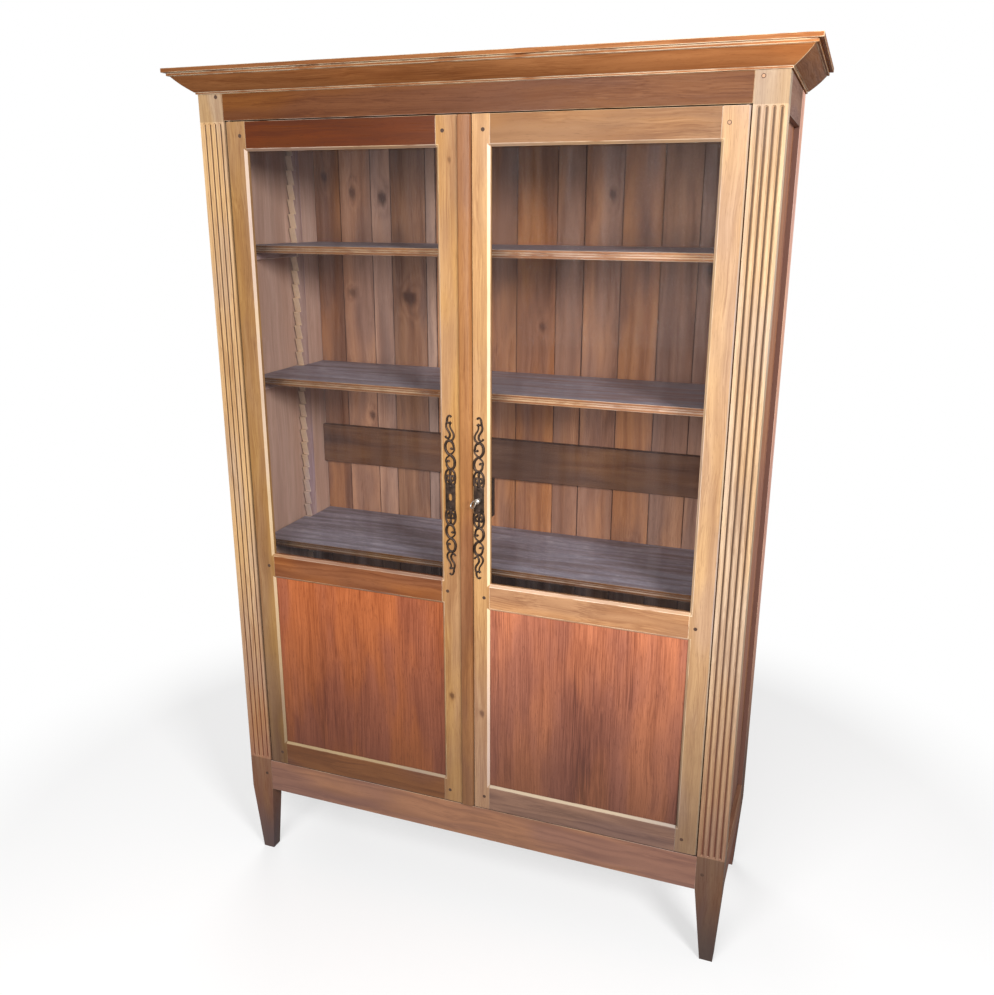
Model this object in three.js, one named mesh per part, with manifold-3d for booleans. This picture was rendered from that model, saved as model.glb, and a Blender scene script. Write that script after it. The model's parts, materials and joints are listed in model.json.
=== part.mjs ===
// A tall two-door bookcase: glass above and a wooden panel below in each door,
// fluted front posts on tapered feet, and a projecting mitred cornice.
// Millimetres, +Z up, the floor at Z 0. The front faces -Y and X runs across it.
import * as THREE from "three";
import { mergeVertices } from "three/addons/utils/BufferGeometryUtils.js";
import Module from "manifold-3d";

const wasm = await Module();
wasm.setup();

// Overall sizes
const overallHeight = 2060;
const bodyWidth = 1300;
const bodyDepth = 432;

// Cornice, from its foot to its cap; a reach is measured out from the posts' faces
const corniceHeight = 51;
const corniceReach = 55;
const corniceSeatDepth = 26;
const corniceBeadReach = 4;
const corniceBeadHeight = 4;
const corniceSlopeStartReach = 6;
const corniceSlopeReach = 42;
const corniceSlopeSwellDepth = 2.5;
const corniceBandReach = 47;
const corniceBandHeight = 5;
const corniceQuirkDepth = 1.5;
const corniceCapHeight = 9;
const corniceMitreGap = 0.3;
const corniceSlopeSteps = 5;

// Front posts and their feet
const postWidth = 64;
const postDepth = 45;
const footHeight = 208;
const footInnerTaper = 21;
const footOuterTaper = 11.5;
const footFrontTaper = 15;
const fluteCount = 4;
const flutePitch = 14;
const fluteRadius = 4.2;
const fluteEndInset = 2;
const fluteRoundSides = 12;
const fluteEndRings = 3;

// Rear posts and their feet
const rearPostWidth = 46;
const rearPostDepth = 92;
const rearFootDepth = 46;
const rearFootTaper = 16;
const rearFootInnerTaper = 6;

// Rails of the case
const friezeHeight = 57.5;
const bottomRailHeight = 91;
const sideRailThickness = 28;
const sideTopRailHeight = 75;
const rearRailThickness = 24;
const rearMiddleRailThickness = 16;
const rearMiddleRailHeight = 110;
// The middle rail's rise in the room that it leaves between the lower and the middle shelf
const rearMiddleRailShare = 0.467;

// Side panels and back boards
const sidePanelThickness = 12;
const sidePanelInset = 12;
const sidePanelTongue = 8;
const tongueClearance = 0.3;
const backBoardThickness = 15;
const backBoardInset = 5;
const boardJointDepth = 2.5;
const boardJointHalfWidth = 2;
const backSplitGap = 1;
// Where one back board meets the next, as shares of the clear width between the rear posts
const leftJointShares = [0.064, 0.141, 0.189, 0.272];
const centreJointShares = [0.376, 0.483, 0.57];
const rightJointShares = [0.708, 0.789, 0.864, 0.936];
const leftSplitShare = 0.296;
const rightSplitShare = 0.629;

// Top and bottom boards and shelves
const boardThickness = 18;
const shelfThickness = 18;
const shelfSetback = 100;
const shelfPlay = 1;

// Toothed racks and the cleats that carry the shelves
const rackThickness = 18;
const rackWidth = 38;
const rackToothDepth = 10;
const rackPitch = 36.2;
const rackLead = 25;
const cleatHeight = 18;
const cleatClearance = 0.3;
// The shelves' places among the notches, counted from the bottom, as shares of all notches
const upperShelfShare = 0.82;
const middleShelfShare = 0.61;
const lowerShelfShare = 0.34;

// Doors
const doorThickness = 24;
const doorGap = 2;
const stopClearance = 2;
const stopLap = 10;
const hingeStileWidth = 52.5;
const leftMeetingStileWidth = 49;
const rightMeetingStileWidth = 39.5;
const doorTopRailHeight = 64;
const doorMiddleRailHeight = 66;
const doorBottomRailHeight = 67.5;
const doorPanelHeight = 478;
const mouldingWidth = 5.5;
const rebateWidth = 8;
const rebatePlay = 1;
const glassThickness = 3;
const glassSetback = 14;
const panelThickness = 10;
const panelSetback = 7;

// Strip on the left door that covers the meeting of the doors
const stripWidth = 32;
const stripRightEdge = 20;
const stripProudDepth = 8;
const stripRoundRadius = 7;
const stripRoundSteps = 4;
const meetingGap = 1.5;

// Pivots at the doors' outer edges
const pivotInset = 7;
const pivotRadius = 3.5;
const pivotLength = 16;
const pivotCollarRadius = 6.5;
const pivotClearance = 0.1;
const pivotSides = 20;
const doorEdgeSteps = 6;

// Pierced escutcheons, each the same above and below its plate
const lockHeight = 1119;
const escutcheonOffset = 35.5;
const escutcheonThickness = 2;
const plateHeight = 80;
const plateWidth = 26;
const plateCornerWidth = 5;
const strapWidth = 3.4;
const strapRoundSteps = 3;
const fleurHeight = 24;
const fleurWidth = 25;
const largeScrollHeight = 76;
const largeScrollWidth = 24;
const smallScrollHeight = 50;
const smallScrollWidth = 18;
const tipScrollHeight = 18;
const tipScrollWidth = 9;
const scrollTurns = 0.72;
const scrollSteps = 9;
const keyholeRadius = 3.3;
const keyholeSlotWidth = 3.4;
const keyholeSlotLength = 12;
const keyholeSides = 12;
const lozengeWidth = 9;
const lozengeHeight = 20;

// Lock behind the right door's meeting stile, its bolt and its key
const lockCaseInset = 1.5;
const lockCaseWidth = 36;
const lockCaseDepth = 16;
const lockCaseHeight = 90;
const lockCaseWall = 2;
const boltThickness = 6;
const boltHeight = 12;
const boltLength = 28;
const boltRise = 12;
const boltClearance = 0.3;
const keyShankRadius = 2.6;
const keyShankReach = 16;
const keyCollarRadius = 3.3;
const keyCollarLength = 4;
const keyBowLength = 34;
const keyBowHeight = 18;
const keyBowWire = 3.2;
const keyBitLength = 10;
const keyBitDepth = 6;
const keyBitThickness = 2.6;
const keyTipClearance = 1;
const keySides = 12;
const keyBowSteps = 16;
const keyWireSides = 8;

// Overrun of every cut past the face that it opens, and the distance within which vertices are one
const overrun = 2;
const weldDistance = 0.001;

// Levels and planes that several pieces share; Y is measured back from the posts' front faces
const bodyTop = overallHeight - corniceHeight;
const doorBottom = footHeight + bottomRailHeight + doorGap;
const doorTop = bodyTop - friezeHeight - doorGap;
const doorHeight = doorTop - doorBottom;
const frontRailThickness = doorThickness + stopClearance;
const bottomBoardTop = doorBottom + stopLap;
const bottomBoardBottom = bottomBoardTop - boardThickness;
const topBoardBottom = doorTop - stopLap;
const topBoardTop = topBoardBottom + boardThickness;
const outerX = bodyWidth / 2;
const postInnerX = outerX - postWidth;
const rearPostInnerX = outerX - rearPostWidth;
const railInnerX = outerX - sideRailThickness;
const sideRailTopLevel = bodyTop - sideTopRailHeight;
const rearPostY = bodyDepth - rearPostDepth;
const backBoardY = bodyDepth - backBoardInset - backBoardThickness;
const firstNotch = bottomBoardTop + rackLead;
const notchCount = Math.floor((topBoardBottom - firstNotch) / rackPitch);
const hingeX = postInnerX - doorGap - pivotInset;

// Materials
const wood = (color, roughness) => new THREE.MeshStandardMaterial({ color, roughness, metalness: 0 });
const postWood = wood("#c79a68", 0.45);
const darkWood = wood("#8f5c38", 0.4);
const stileWood = wood("#cf9e69", 0.42);
const panelWood = wood("#9a5434", 0.38);
const stripWood = wood("#b06f45", 0.4);
const boardWood = wood("#7d6153", 0.7);
const shelfWood = wood("#8a6450", 0.65);
const rackWood = wood("#9a8b80", 0.75);
const iron = new THREE.MeshStandardMaterial({ color: "#3a2e26", roughness: 0.5, metalness: 0.8 });
const steel = new THREE.MeshStandardMaterial({ color: "#a9a49b", roughness: 0.35, metalness: 1 });
const clearGlass = new THREE.MeshStandardMaterial({
  color: "#dfe6e2",
  roughness: 0.05,
  metalness: 0,
  transparent: true,
  opacity: 0.3,
});

// A closed geometry as a solid that can be cut and joined.
function solid(geometry) {
  const bare = new THREE.BufferGeometry();
  bare.setAttribute("position", geometry.getAttribute("position"));
  bare.setIndex(geometry.getIndex());
  const welded = mergeVertices(bare, weldDistance);
  return new wasm.Manifold(
    new wasm.Mesh({
      numProp: 3,
      vertProperties: welded.getAttribute("position").array,
      triVerts: new Uint32Array(welded.getIndex().array),
    }),
  );
}

// The surface of a solid, with flat shading.
function surface(body) {
  const { vertProperties, triVerts } = body.getMesh();
  const indexed = new THREE.BufferGeometry();
  indexed.setAttribute("position", new THREE.BufferAttribute(vertProperties, 3));
  indexed.setIndex(new THREE.BufferAttribute(triVerts, 1));
  const geometry = indexed.toNonIndexed();
  geometry.computeVertexNormals();
  return geometry;
}

// Moves every vertex of a geometry and turns the faces round if the move mirrored them.
function remap(geometry, move) {
  const indexed = geometry.index ? geometry.toNonIndexed() : geometry;
  const position = indexed.getAttribute("position");
  for (let i = 0; i < position.count; i++) {
    position.setXYZ(i, ...move(position.getX(i), position.getY(i), position.getZ(i)));
  }
  const [a, b, c] = [new THREE.Vector3(), new THREE.Vector3(), new THREE.Vector3()];
  let volume = 0;
  for (let i = 0; i < position.count; i += 3) {
    a.fromBufferAttribute(position, i);
    b.fromBufferAttribute(position, i + 1);
    c.fromBufferAttribute(position, i + 2);
    volume += a.dot(b.cross(c));
  }
  if (volume < 0) {
    for (let i = 0; i < position.count; i += 3) {
      a.fromBufferAttribute(position, i);
      b.fromBufferAttribute(position, i + 1);
      position.setXYZ(i, b.x, b.y, b.z);
      position.setXYZ(i + 1, a.x, a.y, a.z);
    }
  }
  return indexed;
}

// A box between two values on each axis, given in either order on X.
function block(x0, x1, y0, y1, z0, z1) {
  return remap(new THREE.BoxGeometry(), (x, y, z) => [
    x < 0 ? x0 : x1,
    y < 0 ? y0 : y1,
    z < 0 ? z0 : z1,
  ]);
}

// A box whose lower rectangle [x0, x1, y0, y1] differs from its upper one.
function tapered(low, high, z0, z1) {
  return remap(new THREE.BoxGeometry(), (x, y, z) => {
    const end = z < 0 ? low : high;
    return [x < 0 ? end[0] : end[1], y < 0 ? end[2] : end[3], z < 0 ? z0 : z1];
  });
}

// A closed outline of [u, v] points swept one unit, then placed by a function of u, v and the end.
function swept(outline, place) {
  const shape = new THREE.Shape(outline.map(([u, v]) => new THREE.Vector2(u, v)));
  const geometry = new THREE.ExtrudeGeometry(shape, { bevelEnabled: false });
  return remap(geometry, (u, v, w) => place(u, v, w > 0));
}

// An outline of [x, y] points stood up between two heights.
const upright = (outline, z0, z1) => swept(outline, (x, y, far) => [x, y, far ? z1 : z0]);

// An outline of [x, z] points given a thickness from y0 to y1.
const facing = (outline, y0, y1) => swept(outline, (x, z, far) => [x, far ? y1 : y0, z]);

// Points of an arc about a centre, from one angle to another, both in quarter turns.
function arc(centreX, centreY, radius, from, to, steps) {
  const points = [];
  for (let i = 0; i <= steps; i++) {
    const angle = ((from + ((to - from) * i) / steps) * Math.PI) / 2;
    points.push([centreX + radius * Math.cos(angle), centreY + radius * Math.sin(angle)]);
  }
  return points;
}

// A named mesh added to its group.
function add(group, name, shape, material) {
  const geometry = shape instanceof wasm.Manifold ? surface(shape) : shape;
  const mesh = new THREE.Mesh(geometry, material);
  mesh.name = name;
  group.add(mesh);
}

const bookcase = new THREE.Group();
const frontY = (corniceReach - bodyDepth) / 2;
const carcase = new THREE.Group();
carcase.position.set(0, frontY, 0);
bookcase.add(carcase);

const sides = [
  ["left", -1],
  ["right", 1],
];

// Front posts: four flutes with round ends between the levels of the door, over a tapered foot.
function frontPost(side) {
  const inner = side * postInnerX;
  const outer = side * outerX;
  let post = solid(block(inner, outer, 0, postDepth, footHeight, bodyTop));
  const footEnd = [inner + side * footInnerTaper, outer - side * footOuterTaper, footFrontTaper, postDepth];
  post = post.add(solid(tapered(footEnd, [inner, outer, 0, postDepth], 0, footHeight)));
  const middle = side * (outerX - postWidth / 2);
  const fluteLength = doorHeight - 2 * (fluteEndInset + fluteRadius);
  for (let i = 0; i < fluteCount; i++) {
    const flute = new THREE.CapsuleGeometry(fluteRadius, fluteLength, fluteEndRings, fluteRoundSides);
    flute.rotateX(Math.PI / 2);
    flute.translate(middle + (i - (fluteCount - 1) / 2) * flutePitch, 0, doorBottom + doorHeight / 2);
    post = post.subtract(solid(flute));
  }
  return post.subtract(panelGroove(side));
}

// The groove that the side panel's tongues stand in, cut from posts and side rails alike.
function panelGroove(side) {
  const inner = outerX - sidePanelInset - sidePanelThickness - tongueClearance;
  const outer = outerX - sidePanelInset + tongueClearance;
  const reach = sidePanelTongue + tongueClearance;
  const low = footHeight + bottomRailHeight - reach;
  const high = sideRailTopLevel + reach;
  return solid(block(side * inner, side * outer, postDepth - reach, rearPostY + reach, low, high));
}

// Rear posts: wide in depth above the rails' foot, narrow and tapered below it.
function rearPost(side) {
  const inner = side * rearPostInnerX;
  const outer = side * outerX;
  const footY = bodyDepth - rearFootDepth;
  const foot = tapered(
    [inner + side * rearFootInnerTaper, outer - side * footOuterTaper, footY + rearFootTaper, bodyDepth],
    [inner, outer, footY, bodyDepth],
    0,
    footHeight,
  );
  const shaft = solid(block(inner, outer, rearPostY, bodyDepth, footHeight, bodyTop));
  return shaft.add(solid(foot)).subtract(panelGroove(side));
}

for (const [name, side] of sides) {
  add(carcase, "post_front_" + name, frontPost(side), postWood);
  add(carcase, "post_rear_" + name, rearPost(side), darkWood);
}

// Rails across the front
const railTopOfFoot = footHeight + bottomRailHeight;
const friezeBottom = bodyTop - friezeHeight;
const frieze = block(-postInnerX, postInnerX, 0, frontRailThickness, friezeBottom, bodyTop);
add(carcase, "rail_front_top", frieze, darkWood);
const plinth = block(-postInnerX, postInnerX, 0, frontRailThickness, footHeight, railTopOfFoot);
add(carcase, "rail_front_bottom", plinth, darkWood);

// Rails and panels of the two sides
for (const [name, side] of sides) {
  const inner = side * railInnerX;
  const outer = side * outerX;
  const topRail = solid(block(inner, outer, postDepth, rearPostY, sideRailTopLevel, bodyTop));
  add(carcase, "rail_side_top_" + name, topRail.subtract(panelGroove(side)), darkWood);
  const bottomRail = solid(block(inner, outer, postDepth, rearPostY, footHeight, railTopOfFoot));
  add(carcase, "rail_side_bottom_" + name, bottomRail.subtract(panelGroove(side)), darkWood);
  const panel = block(
    side * (outerX - sidePanelInset - sidePanelThickness),
    side * (outerX - sidePanelInset),
    postDepth - sidePanelTongue,
    rearPostY + sidePanelTongue,
    railTopOfFoot - sidePanelTongue,
    sideRailTopLevel + sidePanelTongue,
  );
  add(carcase, "panel_side_" + name, panel, darkWood);
}

// The ledge that carries each shelf's cleats
const shelves = [
  ["upper", upperShelfShare],
  ["middle", middleShelfShare],
  ["lower", lowerShelfShare],
].map(([name, share]) => [name, firstNotch + Math.round(share * notchCount) * rackPitch]);
const [, [, middleLedge], [, lowerLedge]] = shelves;

// Rails across the back, in front of the boards
const lowerShelfTop = lowerLedge + cleatHeight + shelfThickness;
const middleRailRoom = middleLedge + cleatHeight - lowerShelfTop - rearMiddleRailHeight;
const middleRailBottom = lowerShelfTop + rearMiddleRailShare * middleRailRoom;
const rearRails = [
  ["top", topBoardTop, bodyTop, rearRailThickness],
  ["middle", middleRailBottom, middleRailBottom + rearMiddleRailHeight, rearMiddleRailThickness],
  ["bottom", footHeight, bottomBoardBottom, rearRailThickness],
];
for (const [name, low, high, thickness] of rearRails) {
  const rail = block(-rearPostInnerX, rearPostInnerX, backBoardY - thickness, backBoardY, low, high);
  add(carcase, "rail_rear_" + name, rail, boardWood);
}

// Back boards: groups of upright boards with a V at each joint on both faces.
function backBoards(fromShare, toShare, jointShares) {
  const clearWidth = 2 * rearPostInnerX;
  const at = (share) => share * clearWidth - rearPostInnerX;
  const left = at(fromShare) + (fromShare > 0 ? backSplitGap / 2 : 0);
  const right = at(toShare) - (toShare < 1 ? backSplitGap / 2 : 0);
  const rearFace = backBoardY + backBoardThickness;
  const front = jointShares.flatMap((share) => [
    [at(share) - boardJointHalfWidth, backBoardY],
    [at(share), backBoardY + boardJointDepth],
    [at(share) + boardJointHalfWidth, backBoardY],
  ]);
  const rear = jointShares.flatMap((share) => [
    [at(share) - boardJointHalfWidth, rearFace],
    [at(share), rearFace - boardJointDepth],
    [at(share) + boardJointHalfWidth, rearFace],
  ]);
  const ends = [
    [right, backBoardY],
    [right, rearFace],
  ];
  const outline = [[left, backBoardY], ...front, ...ends, ...rear.reverse(), [left, rearFace]];
  return upright(outline, footHeight, bodyTop);
}
add(carcase, "boards_back_left", backBoards(0, leftSplitShare, leftJointShares), boardWood);
add(carcase, "boards_back_centre", backBoards(leftSplitShare, rightSplitShare, centreJointShares), boardWood);
add(carcase, "boards_back_right", backBoards(rightSplitShare, 1, rightJointShares), boardWood);

// A board's outline from points of its right half, front to back, mirrored to the left.
const mirrored = (half) => [...half, ...half.map(([x, y]) => [-x, y]).reverse()];

// Top and bottom boards, notched round the posts; the doors close against their front edges.
const fixedBoard = mirrored([
  [postInnerX, frontRailThickness],
  [postInnerX, postDepth],
  [railInnerX, postDepth],
  [railInnerX, rearPostY],
  [rearPostInnerX, rearPostY],
  [rearPostInnerX, backBoardY],
]);
add(carcase, "board_top", upright(fixedBoard, topBoardBottom, topBoardTop), boardWood);
add(carcase, "board_bottom", upright(fixedBoard, bottomBoardBottom, bottomBoardTop), boardWood);

// A toothed rack: level ledges one pitch apart, each cut back to a sloping face above it.
function rack(side, faceY, toothY) {
  const toward = Math.sign(toothY - faceY);
  const notchY = toothY - toward * rackToothDepth;
  const teeth = [];
  for (let i = 0; i < notchCount; i++) {
    teeth.push([toothY, firstNotch + i * rackPitch]);
    teeth.push([notchY, firstNotch + i * rackPitch]);
  }
  const outline = [
    [faceY, bottomBoardTop],
    [toothY, bottomBoardTop],
    ...teeth,
    [toothY, firstNotch + notchCount * rackPitch],
    [toothY, topBoardBottom],
    [faceY, topBoardBottom],
  ];
  const inner = side * (railInnerX - rackThickness);
  const outer = side * railInnerX;
  return swept(outline, (y, z, far) => [far ? outer : inner, y, z]);
}

const frontToothY = postDepth + rackWidth;
const rearToothY = rearPostY - rackWidth;

// How far a cleat's square end reaches past the tooth tips before it meets the sloping face.
const cleatReach = rackToothDepth * (1 - cleatHeight / rackPitch) - cleatClearance;

for (const [name, side] of sides) {
  add(carcase, "rack_front_" + name, rack(side, postDepth, frontToothY), rackWood);
  add(carcase, "rack_rear_" + name, rack(side, rearPostY, rearToothY), rackWood);
  for (const [shelf, ledge] of shelves) {
    const cleat = block(
      side * (railInnerX - rackThickness),
      side * railInnerX,
      frontToothY - cleatReach,
      rearToothY + cleatReach,
      ledge,
      ledge + cleatHeight,
    );
    add(carcase, "cleat_" + shelf + "_" + name, cleat, rackWood);
  }
}

// Shelves: each lies on its cleats and is notched round the rear racks and posts.
const shelfOutline = mirrored([
  [railInnerX - shelfPlay, shelfSetback],
  [railInnerX - shelfPlay, rearToothY - shelfPlay],
  [railInnerX - rackThickness - shelfPlay, rearToothY - shelfPlay],
  [railInnerX - rackThickness - shelfPlay, backBoardY - shelfPlay],
]);
for (const [name, ledge] of shelves) {
  const underside = ledge + cleatHeight;
  add(carcase, "shelf_" + name, upright(shelfOutline, underside, underside + shelfThickness), shelfWood);
}

// Cornice profile as [reach, height above the body]: bead, sloped face, band and cap.
function corniceProfile() {
  const capBottom = corniceHeight - corniceCapHeight;
  const bandTop = capBottom - corniceQuirkDepth;
  const slopeTop = bandTop - corniceBandHeight;
  const slope = [];
  for (let i = 0; i <= corniceSlopeSteps; i++) {
    const share = i / corniceSlopeSteps;
    const swell = corniceSlopeSwellDepth * Math.sin(Math.PI * share);
    const reach = corniceSlopeStartReach + share * (corniceSlopeReach - corniceSlopeStartReach) + swell;
    slope.push([reach, corniceBeadHeight + share * (slopeTop - corniceBeadHeight)]);
  }
  return [
    [-corniceSeatDepth, 0],
    [corniceBeadReach, 0],
    [corniceBeadReach, corniceBeadHeight],
    ...slope,
    [corniceBandReach, slopeTop],
    [corniceBandReach, bandTop],
    [corniceBandReach - corniceQuirkDepth, bandTop],
    [corniceBandReach - corniceQuirkDepth, capBottom],
    [corniceReach, capBottom],
    [corniceReach, corniceHeight],
    [-corniceSeatDepth, corniceHeight],
  ];
}
const profile = corniceProfile();
const corniceFront = swept(profile, (reach, rise, far) => {
  const end = outerX + reach - corniceMitreGap;
  return [far ? end : -end, -reach, bodyTop + rise];
});
add(carcase, "cornice_front", corniceFront, darkWood);
for (const [name, side] of sides) {
  const returned = swept(profile, (reach, rise, far) => [
    side * (outerX + reach),
    far ? bodyDepth : -reach,
    bodyTop + rise,
  ]);
  add(carcase, "cornice_" + name, returned, darkWood);
}

// Pivots: a collar in the gap between door and rail, and a pin that stands in the door.
const collarHeight = doorGap - pivotClearance;
function pivot() {
  const profilePoints = [
    [0, 0],
    [pivotCollarRadius, 0],
    [pivotCollarRadius, collarHeight],
    [pivotRadius, collarHeight],
    [pivotRadius, collarHeight + pivotLength],
    [0, collarHeight + pivotLength],
  ];
  return new THREE.LatheGeometry(
    profilePoints.map(([radius, height]) => new THREE.Vector2(radius, height)),
    pivotSides,
  );
}
for (const [name, side] of sides) {
  const low = pivot().rotateX(Math.PI / 2);
  low.translate(side * hingeX, pivotInset, railTopOfFoot);
  add(carcase, "pivot_bottom_" + name, solid(low), steel);
  const high = pivot().rotateX(-Math.PI / 2);
  high.translate(side * hingeX, pivotInset, friezeBottom);
  add(carcase, "pivot_top_" + name, solid(high), steel);
}

// A door's sizes: its frame's width, and the levels of its rails above its own bottom edge.
const panelLow = doorBottomRailHeight;
const panelHigh = panelLow + doorPanelHeight;
const glassLow = panelHigh + doorMiddleRailHeight;
const glassHigh = doorHeight - doorTopRailHeight;
const doorOuterX = postInnerX - doorGap;

// One door's frame, glass and panel. X runs from the pivot's axis, u inward from the outer edge.
function door(group, name, side, frameWidth, meetingStileWidth) {
  const x = (u) => side * (pivotInset - u);
  const front = -pivotInset;
  const back = doorThickness - pivotInset;
  const sightOuter = hingeStileWidth;
  const sightInner = frameWidth - meetingStileWidth;

  // What an opening takes from the frame: the hole, its mitred chamfer and the rebate behind.
  const cutter = (low, high, setback) => {
    const hole = block(x(sightOuter), x(sightInner), front - overrun, back + overrun, low, high);
    const chamfer = remap(new THREE.BoxGeometry(), (bx, by, bz) => {
      const grow = by < 0 ? mouldingWidth + overrun : 0;
      return [
        bx < 0 ? x(sightOuter - grow) : x(sightInner + grow),
        by < 0 ? front - overrun : front + mouldingWidth,
        bz < 0 ? low - grow : high + grow,
      ];
    });
    const rebate = block(
      x(sightOuter - rebateWidth),
      x(sightInner + rebateWidth),
      front + setback,
      back + overrun,
      low - rebateWidth,
      high + rebateWidth,
    );
    return solid(hole).add(solid(chamfer)).add(solid(rebate));
  };
  const openings = cutter(glassLow, glassHigh, glassSetback).add(cutter(panelLow, panelHigh, panelSetback));

  // Hinge stile: its outer front edge is rounded about the pivot so that it turns past the post.
  const edge = arc(0, 0, pivotInset, 0, -1, doorEdgeSteps).map(([px, py]) => [side * px, py]);
  const stileOutline = [[x(0), back], ...edge, [x(sightOuter), front], [x(sightOuter), back]];
  let hingeStile = solid(upright(stileOutline, 0, doorHeight)).subtract(openings);
  for (const level of [0, doorHeight]) {
    const hole = new THREE.CylinderGeometry(
      pivotRadius + pivotClearance,
      pivotRadius + pivotClearance,
      2 * pivotLength,
      pivotSides,
    );
    hole.rotateX(Math.PI / 2);
    hole.translate(0, 0, level);
    hingeStile = hingeStile.subtract(solid(hole));
  }
  add(group, "stile_hinge_" + name, hingeStile, stileWood);

  // Meeting stile, with the keyhole's way through it on the door that has the lock.
  const meetingBlank = solid(block(x(frameWidth), x(sightInner), front, back, 0, doorHeight));
  let meetingStile = meetingBlank.subtract(openings);
  if (side > 0) meetingStile = meetingStile.subtract(keyhole(front - overrun, back + overrun));
  add(group, "stile_meeting_" + name, meetingStile, stileWood);

  const rails = [
    ["top", glassHigh, doorHeight],
    ["middle", panelHigh, glassLow],
    ["bottom", 0, panelLow],
  ];
  for (const [level, low, high] of rails) {
    const rail = solid(block(x(sightOuter), x(sightInner), front, back, low, high));
    add(group, "rail_" + level + "_" + name, rail.subtract(openings), stileWood);
  }

  // Glass and panel stand in their rebates with a little play all round.
  const lap = rebateWidth - rebatePlay;
  const infill = (low, high, setback, thickness) =>
    block(
      x(sightOuter - lap),
      x(sightInner + lap),
      front + setback,
      front + setback + thickness,
      low - lap,
      high + lap,
    );
  add(group, "glass_" + name, infill(glassLow, glassHigh, glassSetback, glassThickness), clearGlass);
  add(group, "panel_" + name, infill(panelLow, panelHigh, panelSetback, panelThickness), panelWood);
}

// The keyhole, a round head over a slot, cut from y0 to y1 at the lock's place in a door's frame.
function keyhole(y0, y1) {
  const head = arc(0, 0, keyholeRadius, -1, 3, keyholeSides).slice(0, -1);
  const half = keyholeSlotWidth / 2;
  const slot = [
    [-half, 0],
    [half, 0],
    [half, -keyholeSlotLength],
    [-half, -keyholeSlotLength],
  ];
  const cut = solid(facing(head, y0, y1)).add(solid(facing(slot, y0, y1)));
  return cut.translate([escutcheonOffset - hingeX, 0, lockHeight - doorBottom]);
}

// A strap of even width with round joints along a line of points, given a thickness from y0 to y1.
function strap(points, y0, y1) {
  const half = strapWidth / 2;
  let body = null;
  for (let i = 1; i < points.length; i++) {
    const [ax, az] = points[i - 1];
    const [bx, bz] = points[i];
    const heading = Math.atan2(bz - az, bx - ax) / (Math.PI / 2);
    const outline = [
      ...arc(ax, az, half, heading + 1, heading + 3, strapRoundSteps),
      ...arc(bx, bz, half, heading - 1, heading + 1, strapRoundSteps),
    ];
    const link = solid(facing(outline, y0, y1));
    body = body ? body.add(link) : link;
  }
  return body;
}

// An S-scroll whose bend grows from its middle to both ends, fitted to a height and a width.
function scroll(height, width, side, base) {
  const half = [[0, 0]];
  for (let i = 0; i < scrollSteps; i++) {
    const heading = scrollTurns * 2 * Math.PI * ((i + 0.5) / scrollSteps) ** 2;
    const [px, pz] = half[half.length - 1];
    half.push([px + Math.sin(heading), pz + Math.cos(heading)]);
  }
  const reachX = Math.max(...half.map(([px]) => px));
  const reachZ = Math.max(...half.map(([, pz]) => pz));
  const scaleX = (side * (width - strapWidth)) / (2 * reachX);
  const scaleZ = (height - strapWidth) / (2 * reachZ);
  const upper = half.map(([px, pz]) => [px * scaleX, pz * scaleZ]);
  const lower = upper.slice(1).map(([px, pz]) => [-px, -pz]);
  return [...lower.reverse(), ...upper].map(([px, pz]) => [px, pz + base + height / 2]);
}

// A pierced escutcheon about its own centre: the plate, then loops and scrolls up and down.
function escutcheon(y0, y1, side) {
  const halfWidth = plateWidth / 2;
  const halfHeight = plateHeight / 2;
  const plate = [
    [halfWidth - plateCornerWidth, -halfHeight],
    [halfWidth, plateCornerWidth - halfHeight],
    [halfWidth, halfHeight - plateCornerWidth],
    [halfWidth - plateCornerWidth, halfHeight],
    [plateCornerWidth - halfWidth, halfHeight],
    [-halfWidth, halfHeight - plateCornerWidth],
    [-halfWidth, plateCornerWidth - halfHeight],
    [plateCornerWidth - halfWidth, -halfHeight],
  ];
  const fleurBase = halfHeight - strapWidth;
  const fleurTop = fleurBase + fleurHeight;
  const largeBase = fleurTop - strapWidth;
  const smallBase = largeBase + largeScrollHeight - strapWidth;
  const tipBase = smallBase + smallScrollHeight - strapWidth;
  const loopRadius = (fleurWidth / 2 - strapWidth) / 2;
  const loopStretch = (fleurHeight - strapWidth / 2) / loopRadius;
  const loop = (way) =>
    arc((way * fleurWidth) / 4, 0, loopRadius, 0, 2, scrollSteps).map(([px, pz]) => [
      px,
      fleurBase + pz * loopStretch,
    ]);
  const stem = [
    [0, fleurBase],
    [0, fleurTop],
  ];
  const lines = [
    loop(-1),
    loop(1),
    stem,
    scroll(largeScrollHeight, largeScrollWidth, side, largeBase),
    scroll(smallScrollHeight, smallScrollWidth, -side, smallBase),
    scroll(tipScrollHeight, tipScrollWidth, side, tipBase),
  ];
  let body = solid(facing(plate, y0, y1));
  for (const line of lines) {
    body = body.add(strap(line, y0, y1));
    body = body.add(strap(line.map(([px, pz]) => [px, -pz]), y0, y1));
  }
  return body;
}

const doorGroups = {};
for (const [name, side] of sides) {
  const group = new THREE.Group();
  group.position.set(side * hingeX, pivotInset, doorBottom);
  carcase.add(group);
  doorGroups[name] = group;
}
const leftFrameWidth = doorOuterX + stripRightEdge - stripWidth;
const rightFrameWidth = doorOuterX - stripRightEdge - meetingGap;
door(doorGroups.left, "left", -1, leftFrameWidth, leftMeetingStileWidth);
door(doorGroups.right, "right", 1, rightFrameWidth, rightMeetingStileWidth);

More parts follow.
